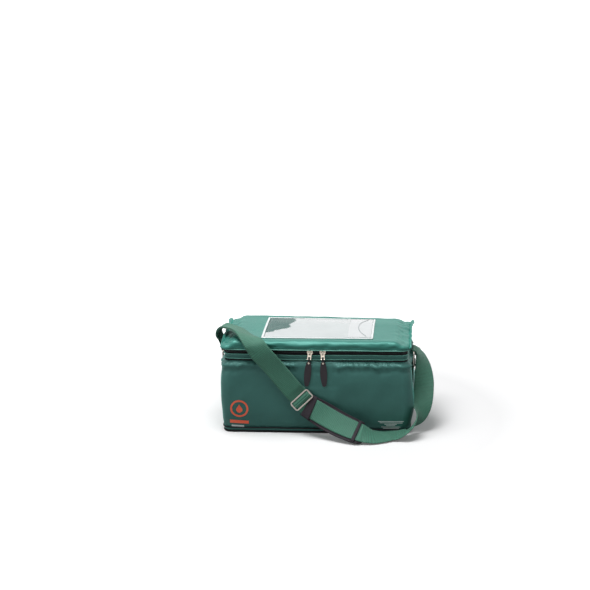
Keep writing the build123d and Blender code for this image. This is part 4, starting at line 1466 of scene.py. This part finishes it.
def make_ring_tabs():
    """The webbing tabs on the two ends: up behind the ring's lower bar, over it and down outside."""
    for name, side in (("left", -1), ("right", 1)):
        low, high = place_of(f"ring_tab_{name}")
        radius = ring_wire / 2 + 0.1 + webbing / 2
        face_x = side * min(abs(low.x), abs(high.x))
        outer_x = face_x + side * 1.5 * webbing
        inner_x = face_x + side * 0.5 * webbing
        centre = Vector((side * ring_axis_x, 0, ring_foot))
        points = [Vector((inner_x, 0, low.z + k * (ring_foot - 2 - low.z) / 8)) for k in range(9)]
        for k in range(15):
            angle = radians(180 - 225 * k / 14) if side > 0 else radians(225 * k / 14)
            points.append(centre + Vector((cos(angle), 0, sin(angle))) * radius)
        points += [Vector((outer_x, 0, ring_foot - 6 - k * (ring_foot - 6 - low.z) / 7)) for k in range(8)]
        frames = stations([(p, ring_across) for p in points])
        tab = skin(f"ring_tab_{name}_webbing", ribbon_rows(frames, high.y - low.y), strap_cloth)
        on(tab, "carrier", f"ring_tab_{name}")
        heights = [low.z + 4 + (ring_foot - 12 - low.z) * k / 5 for k in range(6)]
        sewn = [(Vector((outer_x, 0, z)), ring_across, Vector((side, 0, 0))) for z in heights]
        box = sewn_box(sewn, (high.y - low.y) / 2 - 3, webbing / 2)
        on(stitches(f"ring_tab_{name}_sewing", box, thread_green), "carrier")


# --- Prints ------------------------------------------------------------------------------------


def print_on(name, material, outlines, side=False):
    """Marks laid on the front cloth, or the right side's. An outline is rows of (across, z)."""
    out = Vector((1, 0, 0)) if side else Vector((0, -1, 0))
    verts = []
    faces = []
    for grid in outlines:
        first = len(verts)
        across = len(grid[0])
        for row in grid:
            for x, z in row:
                spot = Vector((half_length, x, z)) if side else Vector((x, -half_depth, z))
                verts.append((spot + out * (shell_reach(spot, out) + 0.25)) * mm)
        for i in range(len(grid) - 1):
            for j in range(across - 1):
                a = first + i * across + j
                faces.append((a, a + 1, a + across + 1, a + across))
    mesh = bpy.data.meshes.new(name)
    mesh.from_pydata(verts, [], faces)
    mesh.uv_layers.new(name="cloth_map")
    mesh.materials.append(material)
    on(walled(linked(name, mesh), 0.12), "carrier")


def ring_mark(centre, radius, width):
    steps = 45
    rows = []
    for k in range(steps + 1):
        angle = radians(360.0 * k / steps)
        radii = (radius - width / 2, radius, radius + width / 2)
        rows.append([(centre[0] + r * cos(angle), centre[1] + r * sin(angle)) for r in radii])
    return rows


def bar_mark(left, right, height):
    steps = max(3, round(abs(right[0] - left[0]) / 2.5))
    rows = []
    for k in range(steps + 1):
        x = left[0] + (right[0] - left[0]) * k / steps
        z = left[1] + (right[1] - left[1]) * k / steps
        rows.append([(x, z - height / 2), (x, z), (x, z + height / 2)])
    return rows


def rule_marks(limits, top, pitch, height):
    """Level rules, one under the other, between the given limits."""
    rules = []
    for row, (near, far) in enumerate(limits):
        z = top - pitch * row
        rules.append(bar_mark((near, z), (far, z), height))
    return rules


def drop_mark(centre, radius, tip):
    """A droplet, as rows across it from its point down."""
    rows = []
    steps = 20
    for k in range(steps + 1):
        t = k / steps
        z = centre[1] + tip - (tip + radius) * t
        half = radius * (sin(pi * t**1.6)) ** 0.8 if 0 < t < 1 else 0.02
        rows.append([(centre[0] - half, z), (centre[0], z), (centre[0] + half, z)])
    return rows


def make_prints():
    """Generic marks where the photographed bag has its printed sign, bars and small text."""
    mark = (-145, 48.5)
    sign = [ring_mark(mark, 15.5, 3.6), drop_mark((mark[0], mark[1] - 2.5), 6.2, 11.5)]
    print_on("sample_mark", orange_print, sign)
    print_on("sample_mark_bar", orange_print, [bar_mark((-163.5, 22.5), (-127.7, 20.5), 6.4)])
    print_on("size_bar", white_print, [bar_mark((-161, 13.2), (-137, 12.2), 3.4)])
    lines = ((118, 166), (121, 164), (130, 153), (133, 150), (124, 160), (127, 157))
    print_on("care_rules", white_print, rule_marks(lines, 26.5, 2.9, 1.2))
    lines = ((-72, -30), (-70, -34), (-72, -40), (-66, -30))
    print_on("side_rules", white_print, rule_marks(lines, 44, 5.2, 2.0), True)


# --- Studio ------------------------------------------------------------------------------------


def seen_by(t, *rays):
    """1 for what the named kinds of ray see, and 0 for light on the object."""
    path = t.add("ShaderNodeLightPath", None, None).outputs
    seen = path[f"Is {rays[0]} Ray"]
    for ray in rays[1:]:
        seen = t.math("MAXIMUM", seen, path[f"Is {ray} Ray"])
    return seen


def make_floor():
    """A white floor that keeps the shadow near the object and runs out to plain white."""
    reach = 60.0
    floor = bpy.data.meshes.new("studio_floor")
    corners = [(-reach, -reach, 0), (reach, -reach, 0), (reach, reach, 0), (-reach, reach, 0)]
    floor.from_pydata(corners, [], [(0, 1, 2, 3)])
    material = bpy.data.materials.new("studio_floor")
    t = bare_tree(material)
    seen = seen_by(t, "Camera", "Transmission")
    white = t.tint(seen, (0.4, 0.4, 0.4, 1), (0.74, 0.74, 0.745, 1))
    paint = t.add("ShaderNodeBsdfDiffuse", {"Color": white})
    spot = t.add("ShaderNodeTexCoord", None, "Object")
    distance = t.add("ShaderNodeVectorMath", {0: spot}, "Value", operation="LENGTH")
    strength = t.times(seen, t.span(distance, 0.35, 0.9, 0.1, 1.0))
    glow = t.add("ShaderNodeEmission", {"Color": (1, 1, 1, 1), "Strength": strength})
    t.add("ShaderNodeOutputMaterial", {"Surface": t.add("ShaderNodeAddShader", {0: paint, 1: glow})}, None)
    floor.materials.append(material)
    linked("studio_floor", floor)


def make_air():
    """Dim light from all round on the object, and plain white for what the camera sees or mirrors."""
    world = bpy.data.worlds.new("studio_air")
    t = bare_tree(world)
    strength = t.mix(seen_by(t, "Camera", "Glossy", "Transmission"), air_light, 1.0)
    air = t.add("ShaderNodeBackground", {"Color": (1, 1, 1, 1), "Strength": strength})
    t.add("ShaderNodeOutputWorld", {"Surface": air}, None)
    bpy.context.scene.world = world


# Each lamp's name, place, aim, size in metres, power in watts, and whether it shows in the gloss.
air_light = 0.26
lamps = (
    ("key_box", (-0.25, -0.3, 1.75), (0, 0, 0.1), 1.0, 34, True),
    ("left_box", (-1.6, -1.0, 0.9), (0, 0, 0.1), 1.0, 4, True),
    ("back_box", (0.2, 2.2, 1.6), (0, 0, 0.15), 2.0, 10, False),
)


def make_studio():
    make_floor()
    make_air()
    for name, where, aim, size, power, mirrored in lamps:
        lamp = bpy.data.lights.new(name, "AREA")
        lamp.energy = power
        lamp.size = size
        holder = linked(name, lamp)
        holder.visible_glossy = mirrored
        holder.location = where
        holder.rotation_euler = (Vector(aim) - Vector(where)).to_track_quat("-Z", "Y").to_euler()
    bpy.context.scene.view_settings.view_transform = "Standard"


def dress_nodes():
    """New finishes for the solids that keep their own shape."""
    finishes = {"strap_adjuster": steel, "zip_end_stops": nickel, "base_panel": board}
    for side in ("left", "right"):
        finishes[f"ring_{side}"] = steel
        finishes[f"slider_{side}"] = nickel
        finishes[f"pull_tab_{side}"] = nickel
        finishes[f"puller_rivet_{side}"] = nickel
        finishes[f"puller_{side}"] = pull_rubber
    for place in ("left", "right", "front", "back", "base"):
        finishes[f"{place}_foam"] = foam
    for name, finish in finishes.items():
        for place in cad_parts[name].material_slots:
            place.material = finish


make_shell()
make_base()
make_rim()
make_hinge()
make_liner()
make_edge_sewing()
make_zip()
make_lid()
make_lid_foam()
make_lid_liner()
make_lid_binding()
make_end_seams()
make_pocket()
make_strap_left()
make_strap_right()
make_pad()
make_ring_tabs()
make_prints()
make_studio()
dress_nodes()
